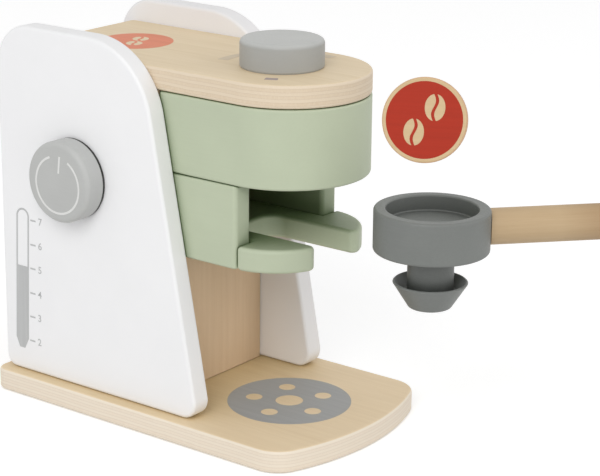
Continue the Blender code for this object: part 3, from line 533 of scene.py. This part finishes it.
# A red print, made paler by a painted sheen.
RED_INK_WITH_PAINTED_SHEEN = ink("top_red_ink_painted_sheen", srgb(227, 137, 106), TOP_TONES[0], cover=0.95)
GAUGE_INK = ink("gauge_ink", srgb(197, 198, 198), srgb(236, 236, 235), UP, OUT, 0.97)
LINE_INK = ink("line_ink", srgb(232, 232, 230), srgb(186, 187, 184), UP, OUT, 0.97)


# Shapes


def arc(centre, radius, start, end):
    """Points of an arc, both ends included, from one angle to another in radians."""
    step = 2 * math.acos(1 - FINE_CHORD / radius)
    count = max(3, math.ceil(abs(end - start) / step))
    turn = [start + (end - start) * i / count for i in range(count + 1)]
    return [(centre[0] + radius * math.cos(a), centre[1] + radius * math.sin(a)) for a in turn]


def rounded(corners, closed=True):
    """An outline through corners of (x, y, radius), each with a fillet of its own radius."""
    points = []
    for i, (x, y, radius) in enumerate(corners):
        if not radius or not (closed or 0 < i < len(corners) - 1):
            points.append((x, y))
            continue
        here = Vector((x, y))
        before = (Vector(corners[i - 1][:2]) - here).normalized()
        after = (Vector(corners[(i + 1) % len(corners)][:2]) - here).normalized()
        half = before.angle(after) / 2
        centre = here + (before + after).normalized() * (radius / math.sin(half))
        start = here + before * (radius / math.tan(half)) - centre
        end = here + after * (radius / math.tan(half)) - centre
        first = math.atan2(start.y, start.x)
        sweep = math.remainder(math.atan2(end.y, end.x) - first, math.tau)
        points += arc(centre, radius, first, first + sweep)
    return points


def piece(name, mesh_data, material, body, replaces=(), placed=None):
    """A finished object: its mesh in place, its material, and the body that carries it."""
    if placed:
        mesh_data.transform(placed)
    bmesh.ops.recalc_face_normals(mesh_data, faces=mesh_data.faces)
    mesh = bpy.data.meshes.new(name)
    mesh_data.to_mesh(mesh)
    mesh_data.free()
    mesh.shade_smooth()
    mesh.materials.append(material)
    made = bpy.data.objects.new(name, mesh)
    SCENE.collection.objects.link(made)
    mesh.set_sharp_from_angle(angle=SHARP_FROM)
    weighted = made.modifiers.new("flat_faces", "WEIGHTED_NORMAL")
    weighted.keep_sharp = True
    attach(made, body)
    if replaces:
        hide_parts(*replaces)


def inset(outline, reach):
    """An anticlockwise outline moved inwards, each point along the line that halves its corner."""
    moved = []
    for i, here in enumerate(outline):
        before = (here - outline[i - 1]).normalized()
        after = (outline[(i + 1) % len(outline)] - here).normalized()
        inwards = Vector((-before.y - after.y, before.x + after.x)).normalized()
        moved.append(here + inwards * (reach / inwards.dot(Vector((-after.y, after.x)))))
    return moved


def slab(outline, low, high, edge):
    """An anticlockwise outline in XY between two heights, with all its rims rounded."""
    outline = [Vector(point) for point in outline]
    outline = [p for i, p in enumerate(outline) if (p - outline[i - 1]).length > NEXT_POINT]
    turns = [math.pi / 2 * i / ROUND_SEGMENTS for i in range(ROUND_SEGMENTS + 1)]
    rims = [(edge * (1 - math.sin(a)), edge * (1 - math.cos(a))) for a in turns]
    rims.insert(0, (edge + CAP_BORDER, 0))
    levels = [(reach, low + rise) for reach, rise in rims]
    levels += [(reach, high - rise) for reach, rise in reversed(rims)]
    mesh_data = bmesh.new()
    rings = []
    for reach, z in levels:
        ring = inset(outline, reach)
        rings.append([mesh_data.verts.new((p.x, p.y, z)) for p in ring])
    for first, second in zip(rings, rings[1:]):
        for i in range(len(first)):
            mesh_data.faces.new((first[i - 1], first[i], second[i], second[i - 1]))
    plan = [v.co.copy() for v in rings[0]]
    for corners in tessellate_polygon([plan]):
        for ring in (rings[0], rings[-1]):
            mesh_data.faces.new([ring[i] for i in corners])
    return mesh_data


def lathe(profile, steps=TURN_STEPS):
    """A profile of (radius, height) points spun round Z."""
    mesh_data = bmesh.new()
    verts = [mesh_data.verts.new((r, 0, z)) for r, z in profile]
    edges = [mesh_data.edges.new(pair) for pair in zip(verts, verts[1:])]
    spun = {"cent": (0, 0, 0), "axis": (0, 0, 1), "angle": math.tau, "steps": steps}
    bmesh.ops.spin(mesh_data, geom=verts + edges, use_merge=True, **spun)
    bmesh.ops.remove_doubles(mesh_data, verts=mesh_data.verts, dist=WELD_GAP)
    return mesh_data


def placed_at(place, direction=UP):
    turn = Vector(direction).to_track_quat("Z", "Y").to_matrix().to_4x4()
    return Matrix.Translation(place) @ turn


def on_plane(origin, right, up):
    """A matrix that lays XY drawings on a plane: x along right, y along up, z out of it."""
    out = Vector(right).cross(Vector(up))
    columns = Matrix((tuple(right), tuple(up), tuple(out))).transposed().to_4x4()
    return Matrix.Translation(Vector(origin)) @ columns


def printed(name, loops, material, body, placed):
    """A flat print with an outline and holes, as a thin layer just off its surface."""
    mesh_data = bmesh.new()
    edges = []
    for loop in loops:
        verts = [mesh_data.verts.new((x, y, PRINT_LIFT)) for x, y in loop]
        edges += [mesh_data.edges.new(pair) for pair in zip(verts, verts[1:] + verts[:1])]
    bmesh.ops.triangle_fill(mesh_data, use_beauty=True, use_dissolve=False, edges=edges)
    extruded = bmesh.ops.extrude_face_region(mesh_data, geom=list(mesh_data.faces))["geom"]
    top = [v for v in extruded if isinstance(v, bmesh.types.BMVert)]
    bmesh.ops.translate(mesh_data, verts=top, vec=(0, 0, PRINT_THICK))
    piece(name, mesh_data, material, body, placed=placed)


def circle(x, y, radius, count=CIRCLE_STEPS):
    turn = [math.tau * i / count for i in range(count)]
    return [(x + radius * math.cos(a), y + radius * math.sin(a)) for a in turn]


def band(x, y, radii, degrees):
    """A flat ring segment with square ends, between two radii and two angles."""
    inner, outer = radii
    start, end = [math.radians(angle) for angle in degrees]
    return arc((x, y), outer, start, end) + arc((x, y), inner, end, start)


def bar(x0, y0, x1, y1, width):
    """A straight stroke between two points."""
    run = Vector((x1 - x0, y1 - y0)).normalized() * (width / 2)
    start = [(x0 + run.y, y0 - run.x), (x1 + run.y, y1 - run.x)]
    return start + [(x1 - run.y, y1 + run.x), (x0 - run.y, y0 + run.x)]


# Boards


def nose_outline(rear_y, rear_corner):
    """A board as wide as the group, with a half-round nose."""
    half, tip = GROUP_HALF, GROUP_FACE_Y - GROUP_HALF
    sides = [(half, rear_y, rear_corner), (-half, rear_y, rear_corner)]
    return rounded([(-half, tip, half), (half, tip, half)] + sides)


def base_outline():
    """The base in plan: a bowed front edge between two rounded corners, and a straight rear."""
    bow, corner, rear = BASE_FRONT_RADIUS, BASE_FRONT_CORNER, BASE_REAR_CORNER
    bow_y = FRONT_Y + bow
    corner_x = BASE_HALF - corner
    corner_y = bow_y - math.sqrt((bow - corner) ** 2 - corner_x**2)
    meet = math.atan2(corner_y - bow_y, corner_x)
    right = arc((0, bow_y), bow, -math.pi / 2, meet)
    right += arc((corner_x, corner_y), corner, meet, 0)[1:]
    right += arc((BASE_HALF - rear, REAR_Y - rear), rear, 0, math.pi / 2)
    return right + [(-x, y) for x, y in reversed(right[1:])]


def fork_outline():
    """Two prongs round a slot in front of the cheeks, and a tongue between them."""
    nose, mouth, heel = FORK_NOSE_RADIUS, SLOT_MOUTH_RADIUS, PRONG_HEEL_RADIUS
    front = GROUP_FACE_Y - SEAM
    nose_x, mouth_x = GROUP_HALF - nose, SLOT_HALF + mouth
    mouth_y = front - math.sqrt((nose - mouth) ** 2 - (mouth_x - nose_x) ** 2)
    meet = math.atan2(mouth_y - front, mouth_x - nose_x)
    prong = arc((mouth_x, mouth_y), mouth, math.pi, math.tau + meet)
    prong += arc((nose_x, front), nose, meet, -math.asin(heel / nose))[1:]
    prong += arc((prong[-1][0] - heel, front - heel), heel, 0, math.pi / 2)[1:]
    tongue_x = CHEEK_INNER_X - SEAM
    right = prong + [(tongue_x, front), (tongue_x, GROUP_REAR_Y)]
    left = [(-x, y) for x, y in reversed(right)]
    corner = SLOT_END_CORNER
    end = [(-SLOT_HALF, SLOT_END_Y, corner), (SLOT_HALF, SLOT_END_Y, corner)]
    slot = rounded([(-SLOT_HALF, mouth_y, 0), *end, (SLOT_HALF, mouth_y, 0)], closed=False)
    return right + left + slot[1:-1]


def panel_outline():
    """A side panel in side view, with its slanted front edge and its tall round brow."""
    return rounded(
        [
            (PANEL_REAR_Y, PANEL_BOTTOM, PANEL_HEEL_RADIUS),
            (PANEL_REAR_Y, PANEL_TOP, PANEL_REAR_TOP_RADIUS),
            (PANEL_BROW_Y, PANEL_TOP, PANEL_BROW_RADIUS),
            (PANEL_FOOT_Y, PANEL_BOTTOM, PANEL_FOOT_RADIUS),
        ]
    )


def rectangle(low, high, corner):
    ends = [(low[0], low[1]), (high[0], low[1]), (high[0], high[1]), (low[0], high[1])]
    return rounded([(x, y, corner) for x, y in ends])


def make_boards():
    mesh_data = slab(base_outline(), 0, BASE_TOP, BOARD_ROUND)
    piece("base", mesh_data, BASE_WOOD, "housing", ["base_board"])
    mesh_data = slab(nose_outline(TOP_REAR_Y, TOP_REAR_CORNER), TOP_BOTTOM, TOP_TOP, BOARD_ROUND)
    piece("top", mesh_data, TOP_WOOD, "housing", ["top_board"])
    outline = nose_outline(GROUP_REAR_Y, GREEN_CORNER)
    mesh_data = slab(outline, BLOCK_BOTTOM, BLOCK_TOP, JOINED_ROUND)
    piece("block", mesh_data, GREEN_PAINT, "housing", ["group_block"])
    mesh_data = slab(fork_outline(), FORK_LOWER, FORK_UPPER, FORK_ROUND)
    piece("fork", mesh_data, FORK_PAINT, "housing", ["fork_plate"])
    stand = Matrix(((0, 0, 1, 0), (1, 0, 0, 0), (0, 1, 0, 0), (0, 0, 0, 1)))
    for side, sign in (("left", -1), ("right", 1)):
        low, high = sorted((sign * PANEL_INNER_X, sign * PANEL_OUTER_X))
        mesh_data = slab(panel_outline(), low, high, PANEL_ROUND)
        replaced, material = [side + "_side_panel"], PANEL_PAINTS[side]
        piece(side + "_panel", mesh_data, material, "housing", replaced, stand)
        low, high = sorted((sign * GROUP_HALF, sign * CHEEK_INNER_X))
        plan = rectangle((low, GROUP_FACE_Y), (high, GROUP_REAR_Y), GREEN_CORNER)
        mesh_data = slab(plan, FORK_LOWER, CHEEK_TOP, JOINED_ROUND)
        replaced, material = [side + "_cheek"], CHEEK_PAINTS[side]
        piece(side + "_side_block", mesh_data, material, "housing", replaced)
    plan = rectangle((-GROUP_HALF, WALL_FRONT_Y), (GROUP_HALF, WALL_REAR_Y), WALL_CORNER)
    mesh_data = slab(plan, BASE_TOP + SEAM, BLOCK_TOP, WALL_ROUND)
    piece("wall", mesh_data, WALL_WOOD, "housing", ["back_wall"])


# Turned pieces


def make_knob(name, node, height, place, direction, body, material, foot):
    """A knob on a foot whose step leaves a dark line where it is narrower."""
    radius, low, high = foot
    profile = [
        (0, low, 0),
        (radius, low, KNOB_FOOT_EDGE),
        (radius, high, 0),
        (KNOB_RADIUS, high, KNOB_BACK_EDGE),
        (KNOB_RADIUS, height, KNOB_EDGE),
        (0, height, 0),
    ]
    mesh_data = lathe(rounded(profile, closed=False))
    piece(name, mesh_data, material, body, [node], placed_at(place, direction))


def make_holder():
    profile = [
        (0, 0, 0),
        (BASKET_RADIUS, 0, BASKET_ROUND),
        (BASKET_RADIUS, BASKET_HEIGHT, BASKET_ROUND),
        (RECESS_RADIUS, BASKET_HEIGHT, RECESS_RIM_ROUND),
        (RECESS_RADIUS, RECESS_FLOOR, RECESS_FLOOR_ROUND),
        (0, RECESS_FLOOR, 0),
    ]
    at = placed_at(HOLDER)
    mesh_data = lathe(rounded(profile, closed=False), BASKET_STEPS)
    piece("bowl", mesh_data, HOLDER_PAINT, "filter_basket", ["basket"], at)
    dish = -NECK_LENGTH - SPOUT_DISH_DEPTH
    ends = (-NECK_GAP, dish + NECK_GAP)
    mesh_data = lathe([(0, ends[0]), (NECK_RADIUS, ends[0]), (NECK_RADIUS, ends[1]), (0, ends[1])])
    piece("neck", mesh_data, HOLDER_PAINT, "spout", ["spout_neck"], at)
    foot, rim, lip = -(NECK_LENGTH + SPOUT_HEIGHT), SPOUT_RIM_RADIUS, SPOUT_LIP
    profile = [
        (0, foot, 0),
        (SPOUT_FOOT_RADIUS, foot, SPOUT_FOOT_ROUND),
        (rim, -NECK_LENGTH - lip / 2, SPOUT_LIP_ROUND),
        (rim - lip / 2, -NECK_LENGTH, SPOUT_LIP_ROUND),
        (rim - lip, -NECK_LENGTH, SPOUT_LIP_INNER_ROUND),
        (NECK_RADIUS + SPOUT_DISH_PLAY, dish, SPOUT_DISH_ROUND),
        (0, dish, 0),
    ]
    mesh_data = lathe(rounded(profile, closed=False))
    piece("cone", mesh_data, SPOUT_PAINT, "spout", ["spout_cone"], at)
    make_handle()


def make_handle():
    """A round handle whose root is hollowed to the basket's side."""
    radius, edge, end = HANDLE_RADIUS, HANDLE_END_ROUND, BASKET_RADIUS + HANDLE_LENGTH
    side, root = UP.cross(HANDLE_AXIS), HOLDER + UP * HANDLE_LIFT
    angles = [math.tau * i / HANDLE_SIDES for i in range(HANDLE_SIDES)]
    hollow = BASKET_RADIUS + SEAM
    start = [math.sqrt(hollow**2 - (radius * math.cos(a)) ** 2) for a in angles]
    runs = [end - edge - HANDLE_RING_STEP * i for i in range(HANDLE_RINGS, 0, -1)]
    tip = arc((end - edge, radius - edge), edge, math.pi / 2, 0)
    mesh_data = bmesh.new()
    rings = []
    for run, r in [(None, radius)] + [(run, radius) for run in runs] + tip:
        ring = []
        for a, begin in zip(angles, start):
            reach = begin if run is None else run
            place = root + HANDLE_AXIS * reach + side * (r * math.cos(a)) + UP * (r * math.sin(a))
            ring.append(mesh_data.verts.new(place))
        rings.append(ring)
    for first, second in zip(rings, rings[1:]):
        for i in range(HANDLE_SIDES):
            j = (i + 1) % HANDLE_SIDES
            mesh_data.faces.new((first[i], first[j], second[j], second[i]))
    mesh_data.faces.new(rings[-1])
    mesh_data.faces.new(list(reversed(rings[0])))
    piece("grip", mesh_data, HANDLE_WOOD, "filter_basket", ["handle"])


def make_disc():
    half = DISC_THICK / 2
    rim = [(DISC_RADIUS, -half, DISC_ROUND), (DISC_RADIUS, half, DISC_ROUND)]
    mesh_data = lathe(rounded([(0, -half, 0), *rim, (0, half, 0)], closed=False))
    at = on_plane(DISC, DISC_ACROSS, DISC_UP)
    piece("disc", mesh_data, DISC_WOOD, "coffee_disc", ["coffee_disc"], at)
    face = on_plane(DISC + DISC_NORMAL * half, DISC_ACROSS, DISC_UP)
    loops = [circle(0, 0, DISC_PRINT_RADIUS, LARGE_CIRCLE_STEPS)]
    for x, y in DISC_BEANS:
        loops += bean(x, y, *DISC_BEAN_HALF, 0.0)
    printed("disc_print", loops, RED_INK, "coffee_disc", face)


# Prints


def bean(x, y, wide, tall, turn):
    """The two halves of a coffee bean, with an S-shaped groove between them."""
    halves = []
    limit = math.asin(BEAN_GROOVE / wide)
    for sign in (1, -1):
        points = []
        for i in range(BEAN_STEPS + 1):
            a = limit + (math.pi - 2 * limit) * i / BEAN_STEPS
            points.append((sign * wide * math.sin(a), sign * tall * math.cos(a)))
        first, last = points[0], points[-1]
        for i in range(1, BEAN_STEPS):
            share = i / BEAN_STEPS
            swing = math.sin(math.tau * share) * wide * BEAN_SWING_SHARE
            along = last[1] + (first[1] - last[1]) * share
            points.append((sign * (BEAN_GROOVE - swing), along))
        halves.append(points)
    c, s = math.cos(turn), math.sin(turn)
    return [[(x + px * c - py * s, y + px * s + py * c) for px, py in half] for half in halves]


def make_prints():
    base = on_plane(DRIP_PRINT, OUT, BACK)
    loops = [circle(0, 0, DRIP_RADIUS, DRIP_STEPS), circle(0, 0, DRIP_MIDDLE_RADIUS)]
    for i in range(DRIP_HOLES):
        angle = math.radians(DRIP_FIRST_ANGLE + 360 / DRIP_HOLES * i)
        x, y = DRIP_HOLE_REACH * math.cos(angle), DRIP_HOLE_REACH * math.sin(angle)
        loops.append(circle(x, y, DRIP_HOLE_RADIUS))
    printed("drip_print", loops, GREY_INK, "housing", base)

    top = on_plane((0, 0, TOP_TOP), OUT, BACK)
    loops = [circle(*TOP_PRINT, TOP_PRINT_RADIUS, LARGE_CIRCLE_STEPS)]
    for x, y in TOP_BEANS:
        loops += bean(x, y, *TOP_BEAN_HALF, TOP_BEAN_TURN)
    printed("top_bean_print", loops, RED_INK_WITH_PAINTED_SHEEN, "housing", top)
    scale = band(TOP_KNOB.x, TOP_KNOB.y, SCALE_RADII, SCALE_ANGLES)
    printed("top_scale_arc", [scale], SCALE_INK, "housing", top)
    mark = band(TOP_KNOB.x, TOP_KNOB.y, MARK_RADII, MARK_ANGLES)
    printed("top_scale_mark", [mark], MARK_INK, "housing", top)

    make_gauge(on_plane((-PANEL_OUTER_X, 0, 0), -BACK, UP))

    cap = on_plane(POWER_KNOB + Vector((-POWER_KNOB_HEIGHT, 0, 0)), -BACK, UP)
    ring = band(0, -POWER_RING_DROP, POWER_RING_RADII, POWER_RING_ANGLES)
    printed("power_ring", [ring], LINE_INK, "power_knob", cap)
    printed("power_bar", [bar(*POWER_BAR)], LINE_INK, "power_knob", cap)


def leant(points):
    """Points of the gauge, moved towards the front with their height above its foot."""
    return [(x + GAUGE_LEAN * (y - GAUGE_LOW), y) for x, y in points]


def gauge_foot(middle, radius, low, shoulder):
    """The gauge's pointed lower end, from left to right."""
    tip = GAUGE_TIP_HALF
    left = [(middle - radius, shoulder), (middle - tip, low)]
    return left + [(middle + tip, low), (middle + radius, shoulder)]


def make_gauge(side):
    """A water gauge: a round-ended tube filled to a level, with ticks and numbers."""
    middle, half = (GAUGE_LEFT + GAUGE_RIGHT) / 2, (GAUGE_RIGHT - GAUGE_LEFT) / 2
    loops = []
    for thick in (0, GAUGE_LINE):
        radius, low = half - thick, GAUGE_LOW + thick
        cap = arc((middle, GAUGE_TOP - half), radius, 0, math.pi)
        loops.append(leant(cap + gauge_foot(middle, radius, low, low + GAUGE_SHOULDER)))
    printed("gauge_tube", loops, GAUGE_INK, "housing", side)
    radius, low = half - GAUGE_LINE * GAUGE_FILL_SHARE, GAUGE_LOW + GAUGE_LINE
    fill = [(middle - radius, GAUGE_LEVEL)]
    fill += gauge_foot(middle, radius, low, GAUGE_LOW + GAUGE_SHOULDER)
    fill.append((middle + radius, GAUGE_LEVEL))
    lifted = side @ Matrix.Translation((0, 0, PRINT_THICK))
    printed("gauge_fill", [leant(fill)], GAUGE_INK, "housing", lifted)
    for number, height in GAUGE_TICKS.items():
        y = height * MM
        x = GAUGE_RIGHT + GAUGE_LEAN * (y - GAUGE_LOW)
        tick = bar(x + TICK_START, y, x + TICK_END, y, TICK_WIDTH)
        printed(f"gauge_tick_{number}", [tick], GAUGE_INK, "housing", side)
        numeral(f"gauge_number_{number}", str(number), x + NUMERAL_PLACE, y, side)


def numeral(name, text, x, y, placed):
    curve = bpy.data.curves.new(name, "FONT")
    curve.body = text
    curve.size = NUMERAL_SIZE
    curve.offset = NUMERAL_SWELL
    curve.extrude = PRINT_THICK / 2
    curve.align_x = "CENTER"
    curve.align_y = "CENTER"
    source = bpy.data.objects.new(name + "_text", curve)
    SCENE.collection.objects.link(source)
    bpy.context.view_layer.update()
    mesh = bpy.data.meshes.new_from_object(source)
    bpy.data.objects.remove(source)
    mesh_data = bmesh.new()
    mesh_data.from_mesh(mesh)
    bpy.data.meshes.remove(mesh)
    bmesh.ops.remove_doubles(mesh_data, verts=mesh_data.verts, dist=NUMERAL_WELD_GAP)
    middle = (x, y, PRINT_LIFT + PRINT_THICK / 2)
    bmesh.ops.translate(mesh_data, verts=mesh_data.verts, vec=middle)
    piece(name, mesh_data, GAUGE_INK, "housing", placed=placed)


def dress_hardware():
    """Dowels, axles, washers and screws keep their shapes and get their own materials."""
    for name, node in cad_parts.items():
        if name.endswith(("_screw", "_screw_1", "_screw_2", "_washer")):
            material = ZINC
        elif "dowel" in name or "axle" in name:
            material = HANDLE_WOOD
        else:
            continue
        for i in range(len(node.material_slots)):
            node.material_slots[i].material = material


# Stage

LAMP_TARGET, LAMP_SIZE = (0, 0, 0.1), 1.2
LAMPS = {"key": ((-1.5, -0.7, 1.3), 14.6), "front": ((0.6, -1.8, 0.9), 5.1)}  # place, watts
WORLD_STRENGTH, BACKDROP_STRENGTH = 0.64, 1.0
FLOOR_GLOW, FLOOR_TONE, FLOOR_ROUGHNESS, FLOOR_SPECULAR = 0.40, 0.8, 0.9, 0.1
FLOOR_RADIUS, FLOOR_SIDES, FLOOR_GAP = 6.0, 64, 0.2 * MM
CAMERA_PLACE = (-0.822753, -0.683749, 0.426792)
CAMERA_AZIMUTH = math.radians(-52.854)
CAMERA_ELEVATION = math.radians(17.224)
CAMERA_ROLL = math.radians(0.572)
CAMERA_CLIP_START = 0.01
FOCAL_PIXELS, IMAGE_WIDTH, SENSOR_WIDTH = 2025.54, 600, 36.0


def make_lamps():
    for name, (place, power) in LAMPS.items():
        data = bpy.data.lights.new(name, "AREA")
        data.shape = "DISK"
        data.size = LAMP_SIZE
        data.energy = power
        lamp = bpy.data.objects.new(name, data)
        lamp.location = place
        aim = Vector(LAMP_TARGET) - Vector(place)
        lamp.rotation_euler = aim.to_track_quat("-Z", "Y").to_euler()
        SCENE.collection.objects.link(lamp)


def seen_directly(tree):
    """1 for camera, glossy and transmission rays, so that these see the white backdrop."""
    path = tree.nodes.new("ShaderNodeLightPath")
    share = path.outputs["Is Camera Ray"]
    for kind in ("Is Glossy Ray", "Is Transmission Ray"):
        larger = tree.nodes.new("ShaderNodeMath")
        larger.operation = "MAXIMUM"
        tree.links.new(share, larger.inputs[0])
        tree.links.new(path.outputs[kind], larger.inputs[1])
        share = larger.outputs[0]
    return share


def make_world():
    world = bpy.data.worlds.new("studio")
    world.use_nodes = True
    SCENE.world = world
    tree = world.node_tree
    background = tree.nodes["Background"]
    background.inputs["Color"].default_value = (1, 1, 1, 1)
    strength = tree.nodes.new("ShaderNodeMix")
    strength.data_type = "FLOAT"
    strength.inputs[2].default_value = WORLD_STRENGTH
    strength.inputs[3].default_value = BACKDROP_STRENGTH
    tree.links.new(seen_directly(tree), strength.inputs[0])
    tree.links.new(strength.outputs[0], background.inputs["Strength"])


def make_floor():
    mesh_data = bmesh.new()
    bmesh.ops.create_circle(mesh_data, cap_ends=True, radius=FLOOR_RADIUS, segments=FLOOR_SIDES)
    mesh = bpy.data.meshes.new("floor")
    mesh_data.to_mesh(mesh)
    mesh_data.free()
    floor = bpy.data.objects.new("floor", mesh)
    floor.location.z = -FLOOR_GAP
    SCENE.collection.objects.link(floor)
    material = bpy.data.materials.new("floor")
    material.use_nodes = True
    tree = material.node_tree
    surface = tree.nodes["Principled BSDF"]
    surface.inputs["Base Color"].default_value = (FLOOR_TONE, FLOOR_TONE, FLOOR_TONE, 1)
    surface.inputs["Roughness"].default_value = FLOOR_ROUGHNESS
    surface.inputs["Specular IOR Level"].default_value = FLOOR_SPECULAR
    surface.inputs["Emission Color"].default_value = (1, 1, 1, 1)
    glow = tree.nodes.new("ShaderNodeMath")
    glow.operation = "MULTIPLY"
    glow.inputs[1].default_value = FLOOR_GLOW
    tree.links.new(seen_directly(tree), glow.inputs[0])
    tree.links.new(glow.outputs[0], surface.inputs["Emission Strength"])
    mesh.materials.append(material)


def make_camera():
    az, el, roll = CAMERA_AZIMUTH, CAMERA_ELEVATION, CAMERA_ROLL
    back = Vector((math.sin(az) * math.cos(el), -math.cos(az) * math.cos(el), math.sin(el)))
    right = Vector((math.cos(az), math.sin(az), 0))
    up = back.cross(right)
    rolled_right = right * math.cos(roll) + up * math.sin(roll)
    rolled_up = up * math.cos(roll) - right * math.sin(roll)
    data = bpy.data.cameras.new("camera")
    data.sensor_width = SENSOR_WIDTH
    data.lens = FOCAL_PIXELS * SENSOR_WIDTH / IMAGE_WIDTH
    data.clip_start = CAMERA_CLIP_START
    camera = bpy.data.objects.new("camera", data)
    axes = Matrix((rolled_right, rolled_up, back)).transposed().to_4x4()
    camera.matrix_world = Matrix.Translation(CAMERA_PLACE) @ axes
    SCENE.collection.objects.link(camera)
    SCENE.camera = camera


make_camera()
make_boards()
make_knob("dial", "top_knob", TOP_KNOB_HEIGHT, TOP_KNOB, UP, "top_knob", KNOB_PAINT, TOP_FOOT)
power = (POWER_KNOB_HEIGHT, POWER_KNOB, -OUT, "power_knob", POWER_PAINT, POWER_FOOT)
make_knob("power_dial", "power_knob", *power)
make_holder()
make_disc()
make_prints()
dress_hardware()
make_world()
make_floor()
make_lamps()
SCENE.view_settings.view_transform = "Standard"
